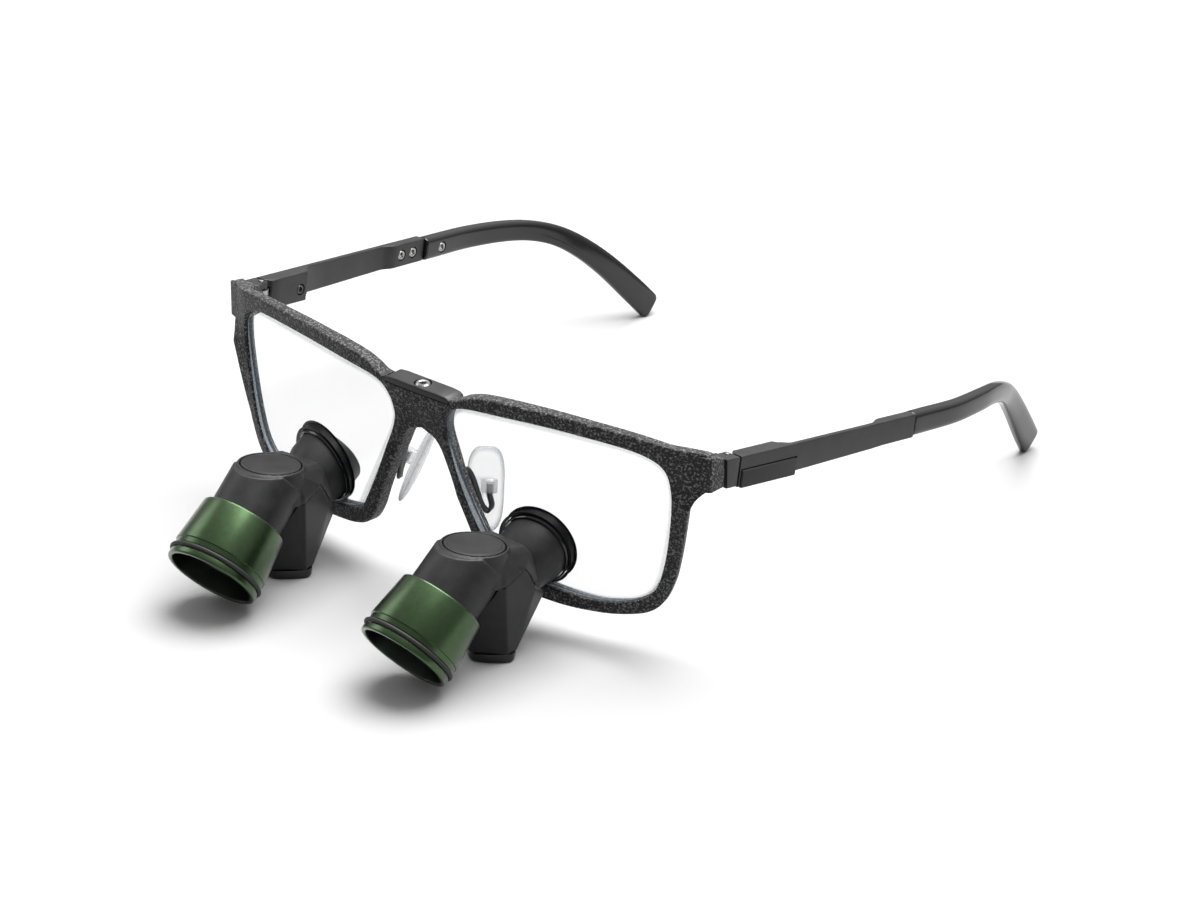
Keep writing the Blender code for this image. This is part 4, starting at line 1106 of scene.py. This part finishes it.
def arm(side):
    """The arm, cut for the tongue and its barrel, the badge, the core and the screws."""
    # each row: place along the arm, its inner face and its lower edge
    stations = smoothed([(1.45, 0.2, -6.9), (2.9, ARM_INNER, -6.9), (14.9, ARM_INNER, -6.9),
                         (15.9, 0.1, -6.5), (18.3, ARM_THIN, -6.4), (44.5, ARM_THIN, -5.7),
                         (48.0, BACK_INNER, -5.5), (58.0, BACK_INNER, -5.4)], 4)
    sections = [slab_section(along, inner, ARM_OUTER, low, side) for along, inner, low in stations]
    barrel_room = turned([(0.0, -1.5), (2.0, -1.5), (2.0, -5.1), (0.0, -5.1)], 48)
    cuts = [block((side * -0.75, 0.0, -4.9), (side * 0.85, 11.2, -1.7)), barrel_room,
            block((side * 1.9, 1.8, -7.5), (side * 4.0, 19.6, -2.9)),
            screw_room(ARM_INNER, ARM_SCREW, -4.0, side, 2.2), core_room(side)]
    cuts += [screw_room(BACK_INNER, along, CORE_LEVEL, side, 1.9) for along in CORE_SCREWS]
    return carve(skin(sections), *[('DIFFERENCE', cut) for cut in cuts])


def hinge_block(side, hinge):
    """The block, cut for the end piece, the tongue's barrel and swing, and the pin."""
    room = block((side * 60.0, -10.0, 38.0), (side * 75.0, -4.3, 50.0))
    bmesh.ops.transform(room, matrix=hinge.inverted() @ DATUM, verts=room.verts)
    return carve(block((side * -1.9, -4.2, -6.6), (side * ARM_OUTER, 1.1, 0.0), 0.3, 4),
                 ('DIFFERENCE', room),
                 ('DIFFERENCE', block((side * -3.0, -2.1, -5.1), (side * 2.1, 2.0, -1.5))),
                 ('DIFFERENCE', block((side * -3.0, -1.8, -7.0), (side * -1.15, 2.0, 1.0))),
                 ('DIFFERENCE', block((side * -3.0, 0.85, -7.0), (side * 0.1, 2.0, 1.0))),
                 ('DIFFERENCE', turned([(0.0, 1.0), (0.75, 1.0), (0.75, -8.0), (0.0, -8.0)], 32)))


black_oxide = Finish("black_oxide_steel", Metallic=1.0)
bloom_spots = black_oxide.noise(5000.0, 2.0, 0.6)
black_oxide.set("Base Color", black_oxide.blend(bloom_spots, (0.05, 0.05, 0.052), (0.13, 0.13, 0.13)))
black_oxide.set("Roughness", 0.22 + bloom_spots * 0.14)

for side_name, side in SIDES:
    tilt = Euler((math.radians(HINGE_TILT), 0.0, math.radians(side * HINGE_SPLAY)))
    pivot = Matrix.Translation((side * HINGE_AT[0], HINGE_AT[1], HINGE_AT[2]))
    hinge = DATUM @ pivot @ tilt.to_matrix().to_4x4()
    temple = "temple_" + side_name
    piece("block_" + side_name, hinge_block(side, hinge), hinge, satin, "front", ["hinge_block_" + side_name])
    pin = turned(rounded([(0.0, 0.2), (0.6, 0.2), (0.6, -6.5), (0.0, -6.5)], 0.12), 32)
    piece("pin_" + side_name, pin, hinge, steel, "front", ["hinge_pin_" + side_name])
    piece("arm_" + side_name, arm(side), hinge, satin, temple, ["temple_arm_" + side_name])
    badge = block((side * 2.1, 2.1, -7.1), (side * 3.15, 19.3, -3.2), 0.22, 3)
    piece("badge_" + side_name, badge, hinge, rubber, temple, ["badge_insert_" + side_name])
    piece("tip_" + side_name, tip(side), hinge, gloss, temple, ["temple_tip_" + side_name])
    facing = (hinge.to_3x3().normalized() @ Matrix.Rotation(math.radians(-side * 90.0), 3, 'Y')).to_euler()
    heads = [(BACK_INNER + 0.05, along, CORE_LEVEL) for along in CORE_SCREWS] + [(-0.9, TIP_SCREW, CORE_LEVEL)]
    held = [name + side_name for name in ("core_screw_front_", "core_screw_rear_", "tip_screw_")]
    screws("temple_screws_" + side_name, [hinge @ Vector((side * x, y, z)) for x, y, z in heads],
           tuple(facing), temple, held, steel, Socket_Radius=0.66, Edge=0.16)
    screws("arm_screw_" + side_name, [hinge @ Vector((side * (ARM_INNER + 0.05), ARM_SCREW, -4.0))],
           tuple(facing), temple, ["block_screw_" + side_name], black_oxide, Socket_Radius=0.62, Edge=0.2)
    for inner in ("hinge_tongue_", "temple_core_"):
        refinish(inner + side_name, steel)
